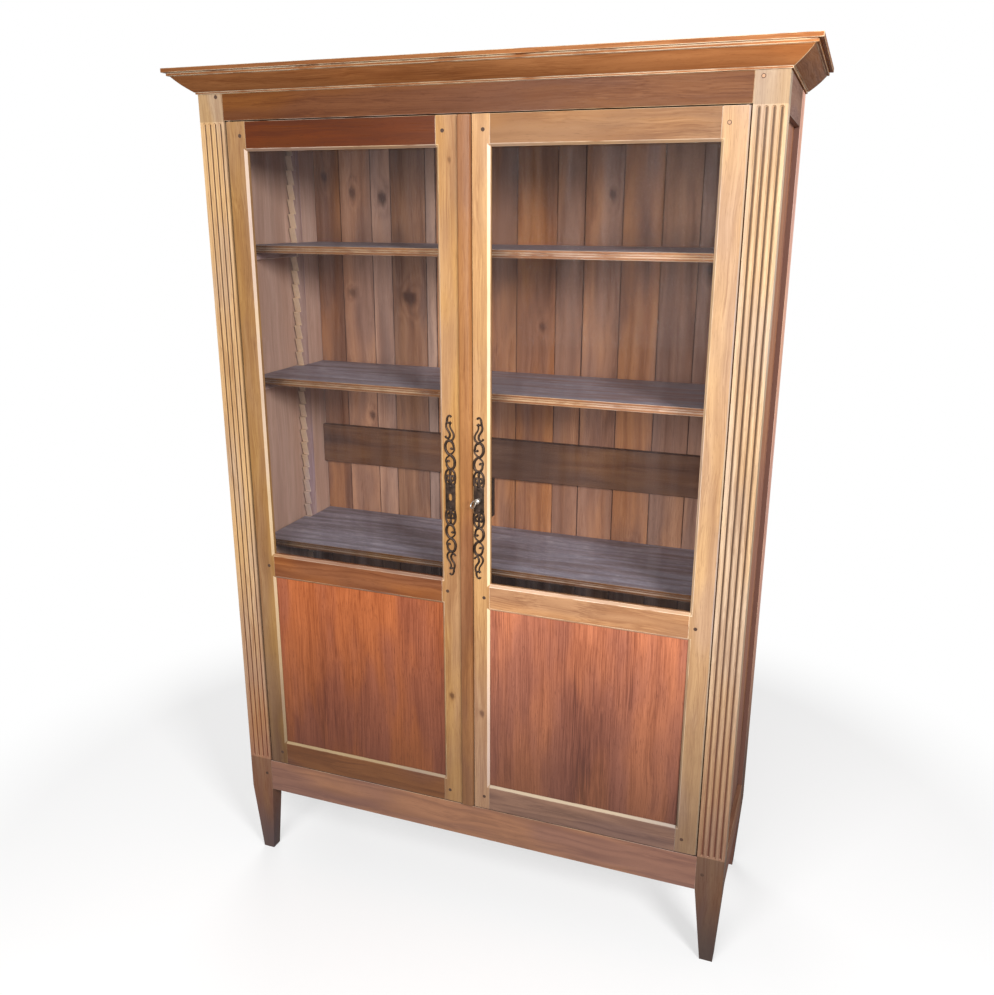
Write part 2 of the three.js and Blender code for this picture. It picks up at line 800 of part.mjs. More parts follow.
// Meeting strip: as thick as the door and proud of it, with rounded front edges.
const stripX = leftFrameWidth - pivotInset;
const stripFront = -pivotInset - stripProudDepth;
const stripRoundX = stripX + stripWidth - stripRoundRadius;
const stripOutline = [
  [stripX + stripWidth, doorThickness - pivotInset],
  [stripX, doorThickness - pivotInset],
  ...arc(stripX + stripRoundRadius, stripFront + stripRoundRadius, stripRoundRadius, 2, 3, stripRoundSteps),
  ...arc(stripRoundX, stripFront + stripRoundRadius, stripRoundRadius, -1, 0, stripRoundSteps),
];
add(doorGroups.left, "strip_meeting", upright(stripOutline, 0, doorHeight), stripWood);

// Escutcheons on the two meeting stiles: a keyhole in the right one, a blind lozenge in the left.
const escutcheonFront = -pivotInset - escutcheonThickness;
const lockPlace = [escutcheonOffset - hingeX, 0, lockHeight - doorBottom];
const lozenge = [
  [lozengeWidth / 2, 0],
  [0, lozengeHeight / 2],
  [-lozengeWidth / 2, 0],
  [0, -lozengeHeight / 2],
];
const blind = solid(facing(lozenge, escutcheonFront - overrun, 0));
const leftPlate = escutcheon(escutcheonFront, -pivotInset, 1).subtract(blind);
const leftPlace = [hingeX - escutcheonOffset, 0, lockPlace[2]];
add(doorGroups.left, "escutcheon_left", leftPlate.translate(leftPlace), iron);
const rightPlate = escutcheon(escutcheonFront, -pivotInset, -1).translate(lockPlace);
const throughPlate = keyhole(escutcheonFront - overrun, 0);
add(doorGroups.right, "escutcheon_right", rightPlate.subtract(throughPlate), iron);

// Lock case: a tray with its open side against the stile, slotted where the bolt comes out.
const meetingEdgeX = stripRightEdge + meetingGap - hingeX;
const stileBack = doorThickness - pivotInset;
const caseLeft = meetingEdgeX + lockCaseInset;
const caseBack = stileBack + lockCaseDepth;
const lockLevel = lockPlace[2];
const boltY = stileBack + lockCaseWall;
const boltLow = lockLevel + boltRise;
const caseShell = solid(
  block(
    caseLeft,
    caseLeft + lockCaseWidth,
    stileBack,
    caseBack,
    lockLevel - lockCaseHeight / 2,
    lockLevel + lockCaseHeight / 2,
  ),
);
const caseHollow = solid(
  block(
    caseLeft + lockCaseWall,
    caseLeft + lockCaseWidth - lockCaseWall,
    stileBack - overrun,
    caseBack - lockCaseWall,
    lockLevel - lockCaseHeight / 2 + lockCaseWall,
    lockLevel + lockCaseHeight / 2 - lockCaseWall,
  ),
);
const boltSlot = solid(
  block(
    caseLeft - overrun,
    caseLeft + lockCaseWall + overrun,
    boltY - boltClearance,
    boltY + boltThickness + boltClearance,
    boltLow - boltClearance,
    boltLow + boltHeight + boltClearance,
  ),
);
add(doorGroups.right, "lock_case", caseShell.subtract(caseHollow).subtract(boltSlot), iron);
const bolt = block(
  caseLeft,
  caseLeft + boltLength,
  boltY,
  boltY + boltThickness,
  boltLow,
  boltLow + boltHeight,
);
add(doorGroups.right, "lock_bolt", bolt, steel);

// Key: a shank through the keyhole with its bit inside the case, and an oval bow in front.
function key() {
  const collarFront = escutcheonFront - keyShankReach;
  const tip = caseBack - lockCaseWall - keyTipClearance;
  const rod = (radius, y0, y1) => {
    const cylinder = new THREE.CylinderGeometry(radius, radius, y1 - y0, keySides);
    return solid(remap(cylinder, (px, py, pz) => [px, py < 0 ? y0 : y1, pz]));
  };
  const bitFront = boltY + boltClearance;
  const bit = block(
    -keyBitThickness / 2,
    keyBitThickness / 2,
    bitFront,
    bitFront + keyBitDepth,
    -keyBitLength,
    0,
  );
  const wire = keyBowWire / 2;
  const bowRadius = keyBowHeight / 2 - wire;
  const bowStretch = (keyBowLength / 2 - wire) / bowRadius;
  const bowMiddle = collarFront - keyBowLength / 2 + wire;
  const bow = new THREE.TorusGeometry(bowRadius, wire, keyWireSides, keyBowSteps);
  const turned = remap(bow, (px, py, pz) => [pz, bowMiddle + px * bowStretch, py]);
  return rod(keyShankRadius, collarFront, tip)
    .add(rod(keyCollarRadius, collarFront, collarFront + keyCollarLength))
    .add(solid(bit))
    .add(solid(turned));
}
add(doorGroups.right, "key", key().translate(lockPlace), steel);

export default bookcase;
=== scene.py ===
"""Looks of a tall bookcase with two glass doors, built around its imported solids."""

import json
import math
import random

import bmesh
import bpy
from mathutils import Matrix, Vector


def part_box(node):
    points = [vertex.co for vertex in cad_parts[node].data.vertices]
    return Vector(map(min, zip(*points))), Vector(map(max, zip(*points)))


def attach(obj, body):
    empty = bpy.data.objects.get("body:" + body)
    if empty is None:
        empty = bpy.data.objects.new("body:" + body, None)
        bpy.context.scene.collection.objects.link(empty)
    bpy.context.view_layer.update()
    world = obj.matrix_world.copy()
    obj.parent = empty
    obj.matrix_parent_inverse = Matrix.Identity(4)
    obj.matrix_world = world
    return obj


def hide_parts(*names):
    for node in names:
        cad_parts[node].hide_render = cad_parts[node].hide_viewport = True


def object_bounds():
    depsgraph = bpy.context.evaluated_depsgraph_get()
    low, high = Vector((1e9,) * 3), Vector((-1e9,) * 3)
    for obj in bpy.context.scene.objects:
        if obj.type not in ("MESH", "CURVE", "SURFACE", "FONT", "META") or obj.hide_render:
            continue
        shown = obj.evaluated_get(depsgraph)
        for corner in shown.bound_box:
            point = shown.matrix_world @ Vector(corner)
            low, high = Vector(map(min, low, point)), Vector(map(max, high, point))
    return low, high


bl_info = {
    "name": "Bookcase with glass doors",
    "version": (1, 0, 0),
    "blender": (4, 5, 0),
    "location": "3D View > Sidebar > Bookcase",
    "description": "Finishes a tall bookcase with two glass doors around its packed solids",
    "category": "Object",
}

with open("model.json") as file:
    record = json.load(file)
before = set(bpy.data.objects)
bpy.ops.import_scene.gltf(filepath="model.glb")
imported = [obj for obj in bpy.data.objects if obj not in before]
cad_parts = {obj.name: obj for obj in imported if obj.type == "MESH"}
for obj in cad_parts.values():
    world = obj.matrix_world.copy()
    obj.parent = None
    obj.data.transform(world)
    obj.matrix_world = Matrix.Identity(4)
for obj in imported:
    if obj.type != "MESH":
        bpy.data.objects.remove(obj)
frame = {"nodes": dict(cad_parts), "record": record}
cad_box = [list(corner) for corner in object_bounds()]

MM = 0.001
SIDES = (("left", -1), ("right", 1))
BODY_OF = {
    node: body
    for body, nodes in frame["record"]["behaviour"]["bodies"].items()
    for node in nodes
}

# Merging of the solids' triangles, and the angles that are flat, smooth or an arris
WELD = 0.01 * MM
FLAT_ANGLE = math.radians(0.5)
SMOOTH_ANGLE = math.radians(32)
ARRIS_ANGLE = math.radians(34)
IRON_SMOOTH_ANGLE = math.radians(50)
STEEL_SMOOTH_ANGLE = math.radians(40)

# Front posts: flutes with rounded ends and worn lands between them, and feet
FLUTE_PITCH = 14 * MM
FLUTE_RADIUS = 4.2 * MM
FLUTE_END_INSET = 2 * MM
FLUTE_END_ROUND = 0.94
FLUTE_END_STEPS = 5
FLUTE_SIDES = 24
FLUTE_COUNT = 4
LAND_ROUND = 1.5 * MM
SOLE_WIDTH = 31.5 * MM
SOLE_DEPTH = 30 * MM
FOOT_INNER_TAPER = 21 * MM

# How near a face lies to a door's outline to be inside the gap round it
GAP_REACH = 4 * MM
# How deep the painted shade lies there, as a share of the flutes' depth, and at the hinges of each side
GAP_SHADE = 0.91
HINGE_GAP_SHADE = {-1: 0.91, 1: 0.88}

# Least area of a chamfer round a door's opening, in square metres
CHAMFER_AREA = 5e-4

# Joints between the back boards, as shares of the clear width between the rear posts
BOARD_JOINTS = (0.064, 0.141, 0.189, 0.272, 0.376, 0.483, 0.57, 0.708, 0.789, 0.864, 0.936)

# Rounding of the edges that are worn more or less than most
STRIP_ROUND = 4 * MM
MOULDING_ROUND = 1.7 * MM
BOARD_ROUND = 1.6 * MM
REAR_RAIL_ROUND = 1.5 * MM
CLEAT_ROUND = 1.2 * MM
RACK_ROUND = 0.8 * MM

# Moulding of the shelves' front edges: the height of each bead, and the quirk between them
SHELF_BEAD = 6.2 * MM
SHELF_QUIRK = 1.6 * MM
SHELF_QUIRK_SLOPE = 0.8 * MM

# Drawbore pegs. Their places and turns vary a little from these.
PEG_RADIUS = 4.4 * MM
PEG_RIM = 0.8 * MM
PEG_EDGE = 0.35 * MM
PEG_PROUD = 0.3 * MM
PEG_LENGTH = 4 * MM
PEG_SIDES = 10
PEG_TO_DOOR_EDGE = 14.4 * MM
PEG_TO_POST_EDGE = 16 * MM
PEG_TO_POST_TOP = 9 * MM
# The pegs right of this x and above this z have rubbed pale heads
RUBBED_PEG_CORNER = (0.3, 1.5)
PEG_WANDER = 2.5 * MM

# Escutcheons. Bars are lists of (across, up, radius) in millimetres from the plate's middle; the
# scrolls start at their ball ends.
PLATE_WIDTH = 25 * MM
PLATE_HEIGHT = 68 * MM
PLATE_CORNER = 4 * MM
PLATE_RIM = 2.4 * MM
PLATE_SLOPE = 0.6 * MM
PLATE_FIELD_RISE = 0.7 * MM
# How far the plate first reaches behind its back, where it is then cut flat
PLATE_SPARE = 1 * MM
RIVET_RISE = 26 * MM
RIVET_RADIUS = 2.4 * MM
RIVET_SINK = 0.5 * MM
RIVET_FLATNESS = 0.7
SCROLL_SINK = 0.4 * MM
# How much thicker the bars are drawn than listed
BAR_WEIGHT = 1.28
FORGED_VOXEL = 0.55 * MM
FORGED_FACES_KEPT = 0.35
LARGE_SCROLL_MIDDLE = 101.3
LARGE_SCROLL = (
    (1.6, 17, 2.2), (4.6, 13.6, 1.6), (8, 15.8, 1.8), (9, 21, 2), (7, 27.8, 2.2), (3, 32, 2.4),
    (-1.5, 33.4, 2.5), (-6.6, 31.6, 2.5), (-10.2, 26.4, 2.6), (-11.6, 19.5, 2.6),
    (-10.9, 12.5, 2.6), (-8, 6.2, 2.6), (-4, 2, 2.5),
)
LARGE_TENDRIL = ((-1, 0, 1.8), (4.4, 3.6, 1.7), (9, 8.6, 1.6), (11, 14.6, 1.5), (10.4, 19, 1.3))
SMALL_SCROLLS = (
    ((-11.4, 144.9, 2.3), (-8.6, 141.2, 1.7), (-4.4, 140, 1.9), (-1, 143.4, 2.1), (0, 150.2, 2.1),
     (-4, 157.8, 2.1), (-8, 164.2, 2), (-8.8, 171.8, 1.9), (-7.1, 178.4, 1.9)),
    ((2.9, 178, 2.5), (0.4, 172, 1.5), (2.2, 163.4, 1.6), (6.9, 156, 1.8), (9.9, 148, 1.9),
     (8.6, 141, 2), (4.2, 136, 2.1)),
    ((3.6, 189.4, 2.2), (1.6, 192.6, 1.7), (-2, 192.8, 1.8), (-5, 189, 1.9), (-6.6, 183, 2),
     (-6, 177.4, 2), (-1.5, 176.6, 1.8), (2.9, 178, 2.3)),
)
FLEUR_SIDE = (
    ((10.2, 32, 2.2), (12.2, 42, 2), (12, 53, 2), (9.4, 61.6, 2.1), (4.8, 66.6, 2.2), (0, 68, 2.4)),
    ((2, 36, 1.8), (6.4, 40.6, 1.7), (8, 47.4, 1.6), (6, 52.6, 1.5), (3.8, 49, 2)),
)
FLEUR_SPEAR = ((0, 32, 3.4), (0, 44, 3), (0, 53, 1.9), (0, 60, 2.7), (0, 67, 1.8))
KEYHOLE_RADIUS = 3.3 * MM
KEYHOLE_DROP = 8 * MM
BLIND_RADIUS = 4.4 * MM
BLIND_DROP = 8.5 * MM
KEYHOLE_CUT = 12 * MM
# How far under a hole's middle its lower half starts, as shares of its radius
KEYHOLE_NECK = 0.75
BLIND_NECK = 0.02

# Key
KEY_BOW_LENGTH = 34 * MM
KEY_BOW_HEIGHT = 18 * MM
KEY_BOW_WIRE = 3.2 * MM
KEY_SHANK_RADIUS = 2.6 * MM
KEY_BIT_THICKNESS = 2.6 * MM
KEY_BIT_WIDTH = 6 * MM
KEY_BIT_FROM_TIP = 4.7 * MM
KEY_EDGE = 0.3 * MM
# Rings turned on the shank as (millimetres from its front, thickness against the shank)
KEY_COLLARS = (
    (0.6, 1), (1.2, 1.3), (2.6, 1.3), (3.2, 1), (4.2, 1), (4.6, 1.18), (5.4, 1.18), (5.8, 1),
)

# Camera, lamps as (name, place, aim, width), and the floor's tones in shade and as seen
CAMERA_PLACE = (0.8092, -2.1513, 1.7596)
CAMERA_TURNS = ((20.39, "Z"), (73.27, "X"), (0.18, "Z"))
CAMERA_LENS = 34.6
LAMPS = (
    ("key", (2.4, -2.4, 2.5), (0.1, 0, 1.25), 0.8),
    ("fill", (-0.1, -3.3, 1.9), (0, 0, 1.15), 1.8),
    ("rear", (-1.6, 3, 2.3), (0, 0.2, 1.1), 2.4),
)
FLOOR_RADIUS = 9
FLOOR_TONES = ((0.3, 0.29, 0.28, 1), (0.34, 0.33, 0.32, 1))
FLOOR_SEEN = (0.97, 0.97, 0.97, 1)
# The floor turns white between these distances from its middle
FLOOR_FADE = (0.95, 1.9)
WHITE = (1, 1, 1, 1)


def linear(code):
    """The linear colour of an sRGB hex value."""
    channels = []
    for start in (1, 3, 5):
        value = int(code[start : start + 2], 16) / 255
        channels.append(value / 12.92 if value <= 0.04045 else ((value + 0.055) / 1.055) ** 2.4)
    return tuple(channels)


def fill(tree, node, inputs):
    """Sets or links a node's inputs, given by name or number, or as a list in their order."""
    for key, value in inputs.items() if isinstance(inputs, dict) else enumerate(inputs):
        if isinstance(value, bpy.types.NodeSocket):
            tree.links.new(value, node.inputs[key])
        else:
            node.inputs[key].default_value = value


def add(tree, kind, inputs=(), output=0, **settings):
    """Adds a node with its settings and inputs, and gives one of its outputs."""
    node = tree.nodes.new("ShaderNode" + kind)
    for name, value in settings.items():
        setattr(node, name, value)
    fill(tree, node, inputs)
    return node.outputs[output]


def colour(name, description, code):
    """A colour property with a default written in sRGB."""
    return bpy.props.FloatVectorProperty(
        name=name, description=description, subtype="COLOR", size=3, min=0, max=1, default=linear(code)
    )


def number(name, description, default, **settings):
    """A property that is one number."""
    return bpy.props.FloatProperty(name=name, description=description, default=default, **settings)


class BookcaseColours(bpy.types.PropertyGroup):
    """Main colours of the bookcase's woods and metals."""

    post: colour("Posts", "Waxed fruitwood of the fluted posts", "#b69672")
    stile: colour("Door stiles", "Waxed fruitwood of the doors' upright members", "#b08859")
    strip: colour("Meeting strip", "Waxed cherry of the strip between the doors", "#996944")
    cornice: colour("Cornice", "Waxed walnut of the cornice", "#925d36")
    frieze: colour("Case rails", "Waxed walnut of the case's rails", "#6a4227")
    side: colour("Sides", "Waxed walnut of the sides and rear posts", "#b58067")
    red_rail: colour("Left top rail", "Waxed walnut of the left door's top rail", "#5a2703")
    honey_rail: colour("Right rails", "Waxed fruitwood of the right door's upper rails", "#90663f")
    door_rail: colour("Door rails", "Waxed fruitwood of the doors' other level members", "#905835")
    panel: colour("Door panels", "Waxed walnut of the lower door panels", "#b26541")
    board: colour("Back boards", "Bare deal of the back", "#a06c4a")
    shelf: colour("Shelves", "Waxed deal of the shelves", "#8c5e3c")
    rack: colour("Racks", "Bare beech of the toothed racks", "#af928f")
    dust: colour("Dust", "Dust on the shelves", "#9c97a5")
    iron: colour("Iron", "Wrought iron of the escutcheons", "#3b3029")
    steel: colour("Steel", "Worn steel of the key and bolt", "#dcd8d0")
    pane: colour("Glass", "Faint veil on the old glass", "#aa9c9c")


class BookcaseSizes(bpy.types.PropertyGroup):
    """Sizes of the bookcase's wear and of its stage."""

    arris: number("Worn arris", "Radius to which handling has rounded the edges", 0.9 * MM, unit="LENGTH")
    shelf_nose: number("Shelf nose", "Radius to which the shelves' beads are worn", 0.9 * MM, unit="LENGTH")
    key_light: number("Key light", "Strength of the soft lamp at the front", 100, subtype="POWER")
    fill_light: number("Fill light", "Strength of the lamp that reaches into the case", 92, subtype="POWER")
    rear_light: number("Rear light", "Strength of the broad lamp behind the case", 55, subtype="POWER")
    room_light: number("Room light", "Strength of the light from all round", 0.27)


# Sizes of the patterns in wood as (across the grain, along it) in millimetres, and their detail.
# The fibres and pores are drawn about four times as coarse as real ones so that they show.
GRAIN_SIZES = {
    "figure": (62, 900, 1.5),
    "tone": (26, 480, 3),
    "fibre": (2.4, 190, 4),
    "pore": (1.8, 22, 2),
    "patches": (22, 60, 3),
    "smudge": (130, 190, 4),
    "zone": (90, 420, 2),
}
# Size of the waves in the grain, and how far they push it aside, in millimetres
GRAIN_WAVE = 170
GRAIN_WANDER = 20
GRAIN_ROUGHNESS = 0.55
# How far apart the grain of pieces with neighbouring numbers is taken, in metres
GRAIN_STEP = (7.3, 3.1, 5.7)
# Tints of the broad zones of a wood that names none of its own
PLAIN_ZONES = ((1.05, 1.01, 0.88), (0.95, 0.98, 1.1))

# Each finish: what the wood is and how it was made, its shares of growth rings, tone and fibres,
# the rings counted over the figure, the spread of the tones, its roughness and coat of wax, and
# the strength of its relief. Some finishes also name
# - zones: the tints of their golden and their dull zones,
# - gloss: how much the bare wood itself shines,
# - wander and pores: how far the grain wanders, and how dark the pores are,
# - arris, and the colour near the floor: the colours of the worn edges, on the cornice also a painted
#   highlight, and of the dirt and painted shade near the floor,
# - rubbed: how much lighter the fluted length is than the ends, for wear and as painted shade on the ends,
# - painted light towards the right end: the x where it starts, and the lightness there and at the right
#   end,
# - painted shade on the back: two heights, each with the lightness at the left and the right end of the
#   back.
FINISHES = {
    # Honey-coloured with fine straight grain and a soft shine; its plain ends are painted darker than the
    # fluted length, for wear and as painted shade.
    "post": dict(
        made="Fruitwood, planed and waxed", shares=(0.12, 0.4, 0.48), rings=5, spread=0.42,
        roughness=0.42, wax=0.05, relief=0.3, rubbed=0.34, floor_colour_dirt_and_shade="#7d3c2b",
    ),
    # Like the posts, but more golden and polished.
    "stile": dict(
        made="Fruitwood, planed and polished", shares=(0.14, 0.46, 0.4), rings=5, spread=0.42,
        roughness=0.38, wax=0.06, relief=0.25, zones=((1.08, 1.01, 0.84), (0.98, 0.95, 1.09)),
    ),
    # Warm orange-brown, handled most, so it shines most.
    "strip": dict(
        made="Cherry, planed and polished", shares=(0.1, 0.5, 0.4), rings=4, spread=0.36,
        roughness=0.35, wax=0.075, relief=0.3, zones=((1.1, 1.08, 0.9), (0.9, 0.88, 0.94)),
    ),
    # Red-brown with dark growth lines that sweep along the moulding; its arrises are painted near white, a
    # painted highlight as well as wear.
    "cornice": dict(
        made="Walnut, run with moulding planes and waxed", shares=(0.18, 0.42, 0.4), rings=5, spread=0.42,
        roughness=0.5, wax=0, relief=0.3, zones=((1.03, 1, 0.94), (0.97, 1, 1.04)),
        gloss=0.08, lit_towards_right=(0, 0.87, 1.6), arris="#fff0d0",
    ),
    # Dull red-brown, with figure that runs along the rails.
    "frieze": dict(
        made="Walnut, planed and waxed", shares=(0.18, 0.42, 0.4), rings=5, spread=0.42,
        roughness=0.42, wax=0.05, relief=0.3, zones=((1.12, 1.06, 0.84), (0.92, 0.9, 1.02)),
    ),
    # Red-brown and dull, because sides are never polished.
    "side": dict(
        made="Walnut, planed and thinly waxed", shares=(0.18, 0.44, 0.38), rings=5, spread=0.38,
        roughness=0.62, wax=0, relief=0.35, gloss=0.08,
    ),
    # Dark and red, with the deepest polish.
    "red_rail": dict(
        made="Walnut, planed and French polished", shares=(0.16, 0.46, 0.38), rings=5, spread=0.36,
        roughness=0.32, wax=0.1, relief=0.25,
    ),
    # Honey-coloured like the stiles, but darker and with more figure.
    "honey_rail": dict(
        made="Fruitwood, planed and waxed dark", shares=(0.24, 0.42, 0.34), rings=6, spread=0.42,
        roughness=0.4, wax=0.06, relief=0.25, zones=((1.06, 1.01, 0.9), (0.96, 0.97, 1.06)),
    ),
    # Brown between the honey-coloured stiles, with bold growth lines.
    "door_rail": dict(
        made="Fruitwood heartwood, planed and polished", shares=(0.34, 0.34, 0.32), rings=7, spread=0.38,
        roughness=0.4, wax=0.06, relief=0.3, zones=((1.14, 1.08, 0.84), (0.9, 0.9, 0.98)),
    ),
    # Dense upright streaks from orange to dark purple-brown.
    "panel": dict(
        made="Walnut crotch board, scraped and polished", shares=(0.06, 0.36, 0.58), rings=5, spread=0.3,
        roughness=0.4, wax=0.06, relief=0.35, zones=((1.12, 1.06, 0.84), (0.86, 0.85, 0.95)),
        wander=0.6, pores=0.6,
    ),
    # Dull, uneven and knotty, each board of its own tone, with painted shade towards the top.
    "board": dict(
        made="Deal, sawn and left bare", shares=(0.18, 0.56, 0.26), rings=6, spread=0.4,
        roughness=0.72, wax=0, relief=0.7, zones=((1.16, 1.1, 0.88), (0.8, 0.82, 0.96)),
        back_shade=(1.0, (1.1, 1.38), 1.85, (0.88, 0.68)),
    ),
    # Brown and dull under a film of dust, and painted lighter towards the right end, where the light falls
    # stronger.
    "shelf": dict(
        made="Deal, planed and thinly waxed", shares=(0.16, 0.44, 0.4), rings=6, spread=0.34,
        roughness=0.55, wax=0, relief=0.5, lit_towards_right=(cad_box[0][0], 0.4, 1.6),
    ),
    # Pale grey-brown with raised fibres.
    "rack": dict(
        made="Beech, sawn and left bare", shares=(0.1, 0.4, 0.5), rings=4, spread=0.34,
        roughness=0.75, wax=0, relief=0.7,
    ),
}

# Masks of the layers on the woods: their name; the pattern, mark or place that each is made from; two
# values of that, and the mask's values there; how it goes from one to the other; and the only
# finish that has it, if it is one. A finish may name its own last value.
MASKS = (
    ("pores", "pore", 0.58, 0.72, 0, 0.35, "LINEAR", None),
    ("handled", "patches", 0.3, 0.52, 0, 0.85, "LINEAR", None),
    # The dark deep in the flutes and in the gaps round the doors: dirt and painted shade
    ("recess_dirt_and_shade", "hollow", 0.8, 0.96, 0, 0.97, "SMOOTHSTEP", None),
    ("smudged", "smudge", 0.5, 0.75, 0, 0.3, "LINEAR", None),
    # Darker towards the floor and under the feet: dirt and painted shade
    ("low_dirt_and_shade", "height", 0.02, 1, 0.66, 0, "SMOOTHSTEP", None),
    ("foot_dirt_and_shade", "height", 0, 0.24, 0.7, 0, "SMOOTHSTEP", None),
    ("dull", "zone", 0.4, 0.6, 0, 1, "SMOOTHSTEP", None),
    ("lowness", "height", 0.35, 0.85, 1, 0, "LINEAR", None),
    ("topside", "upward", 0.75, 0.95, 0, 1, "LINEAR", "shelf"),
    ("settled", "tone", 0.38, 0.6, 0.5, 0.97, "LINEAR", "shelf"),
    ("scratched", "pore", 0.55, 0.75, 0, 1, "LINEAR", "shelf"),
    ("scuffed", "patches", 0.55, 0.75, 0, 0.6, "LINEAR", "shelf"),
    ("inside", "outward", -0.4, -0.3, 0.85, 0, "LINEAR", "side"),
    ("front", "backward", -0.95, -0.8, 1, 0, "LINEAR", "side"),
)

# Marks in the upright woods as (x, z, half width, half height, shade, core, bend): knots have a
# dark core and bend the growth rings, flames are broad dark figures, and pale streaks have a
# positive shade.
MARKS = {
    "stile": (
        (-0.038, 0.602, 0.008, 0.013, -0.1, 0.8, 0.7),
        (0.042, 0.568, 0.008, 0.014, -0.1, 0.7, 0.7),
        (-0.03, 1.86, 0.005, 0.009, -0.1, 0.5, 0.5),
    ),
    "panel": (
        (0.3, 0.52, 0.04, 0.16, -0.18, 0, 0.8),
        (-0.4, 0.45, 0.03, 0.12, -0.11, 0, 0.5),
        (-0.505, 0.62, 0.012, 0.2, 0.16, 0, 0),
        (0.48, 0.6, 0.02, 0.2, 0.07, 0, 0),
    ),
    "board": (
        (-0.572, 1.841, 0.012, 0.024, -0.1, 0.9, 1.5),
        (-0.489, 1.8, 0.012, 0.022, -0.1, 0.8, 1.5),
        (-0.4, 1.787, 0.016, 0.026, -0.12, 0.9, 1.5),
        (-0.327, 1.53, 0.026, 0.03, -0.15, 0.95, 2),
        (-0.5, 1.54, 0.014, 0.016, -0.1, 0.7, 1.5),
        (0.224, 1.795, 0.01, 0.02, -0.1, 0.8, 1.5),
        (0.05, 1.47, 0.01, 0.014, -0.08, 0.6, 1),
        (0.47, 1.62, 0.014, 0.024, -0.1, 0.8, 1.5),
        (0.31, 0.9, 0.012, 0.02, -0.1, 0.8, 1.5),
        (-0.19, 1.05, 0.012, 0.02, -0.1, 0.8, 1.5),
        (-0.45, 1.2, 0.011, 0.018, -0.1, 0.7, 1.5),
        (0.12, 0.55, 0.016, 0.024, -0.1, 0.8, 1.5),
        (-0.3, 0.42, 0.014, 0.022, -0.1, 0.8, 1.5),
    ),
}

# Tones of a wood from deep to pale, as shares of its main colour's red, green and blue
TONES = (
    (0.0, (0.4, 0.31, 0.27)),
    (0.3, (0.74, 0.66, 0.61)),
    (0.56, (1.0, 1.0, 1.0)),
    (1.0, (1.3, 1.4, 1.5)),
)
KNOT_TONE = (0.2, 0.13, 0.1)
BARE_TONE = (1.22, 1.34, 1.45)
JOINT_TONE = (0.3, 0.25, 0.24)
# Dark deep in the flutes, for dirt and as painted shade, and in the door gaps, as painted shade
RECESS_DIRT_AND_SHADE_TONE = (0.15, 0.11, 0.09)
SMUDGE_TONE = (0.55, 0.5, 0.5)
# Pale bare wood on worn arrises and chamfers; on the chamfers that face the light it is also a painted
# highlight
BARE_AND_LIT_CHAMFER = "#dcc4a8"
# Colours towards the floor and under the feet: dirt and painted shade
FLOOR_DIRT_AND_SHADE = "#5d4a44"
SOLE_DIRT_AND_SHADE = "#5c5a62"
# The unwaxed wood inside the case: the rear posts' fronts at the left, and at the right a tone of painted
# shade;
# and the sides' dark and pale streaks and their fibres, the pale ones painted light enough to stand for the
# light on the inner left side
INSIDE_LEFT = "#8f8074"
INSIDE_RIGHT_SHADE = (0.4, 0.42, 0.5)
INSIDE_STREAKS = ("#a67a66", "#f8d6c8")
INSIDE_FIBRES = "#a58670"
# Tones of the dust where it lies and where it is scratched
DUST_TONES = ((0.92, 0.92, 0.92), (1.8, 1.8, 1.7))
# Half the width over which the painted shade on the back changes
BACK_REACH = 0.6

# Lightness of single pieces against their main colour, some of it painted light and shade, how grey they
# have gone (a number below 0 makes the colour richer), and how much darker they are painted towards the
# floor, for dirt and painted shade
NODE_LIGHTS = {
    "post_front_left": (0.85, 0, 0.25),
    "post_front_right": (0.92, 0.1, 0.54),
    "stile_hinge_left": (0.77, 0, 0.25),
    "stile_meeting_left": (1.02, 0, 0.05),
    "stile_meeting_right": (1.16, 0.06, 0),
    "stile_hinge_right": (1.12, 0.14, 0.3),
    "rail_middle_left": (0.84, 0, 0.1),
    "rail_bottom_left": (0.85, 0, 0.15),
    "rail_top_right": (1, 0, 0),
    "rail_middle_right": (1.66, 0.08, 0.1),
    "rail_bottom_right": (0.95, 0.25, 0),
    "rail_front_bottom": (1.35, 0.1, 0),
    # The side top rails are painted dark as the shade under the cornice
    "rail_side_top_left": (0.7, 0.1, 0),
    "rail_side_top_right": (0.6, 0.1, 0),
    "rail_rear_middle": (0.32, 0.06, 0),
    "shelf_lower": (0.46, -0.1, 0),
    "post_rear_left": (1, 0.1, 0.1),
    # The right rear post is painted light as the highlight on its lit edge
    "post_rear_right": (2.2, 0.15, 0.75),
    "panel_left": (0.86, 0, 0.3),
    "panel_right": (1.05, 0.08, 0.45),
    "cornice_left": (0.72, 0, 0),
    "cornice_right": (0.6, -0.25, 0),
    "rail_front_top": (0.95, -0.06, 0),
}
PLAIN_LIGHTS = (1, 0, 0.1)
# Lightness and greyness of each back board, from left to right; the dark ones at the right end are partly
# painted shade
BOARD_LIGHTS = (
    (0.78, 0.05), (0.98, 0.16), (1.08, 0.26), (0.62, 0.15), (0.82, 0.35), (0.85, 0.1), (0.88, 0.05),
    (1, 0), (0.9, 0.1), (0.88, 0.1), (0.86, 0.05), (0.78, 0.15), (0.78, 0.2), (0.66, 0.3),
)
made_woods = {}


def toned(main, tone):
    """A main colour times a tone, as a colour that a ramp takes."""
    return tuple(min(1, channel * share) for channel, share in zip(main, tone)) + (1,)


def opaque(code):
    """An sRGB hex value as a colour that a ramp or a mix takes."""
    return linear(code) + (1,)


def new_material(name):
    """A new material, its node tree and its main shader."""
    material = bpy.data.materials.new(name)
    material.use_nodes = True
    tree = material.node_tree
    return material, tree, tree.nodes["Principled BSDF"]


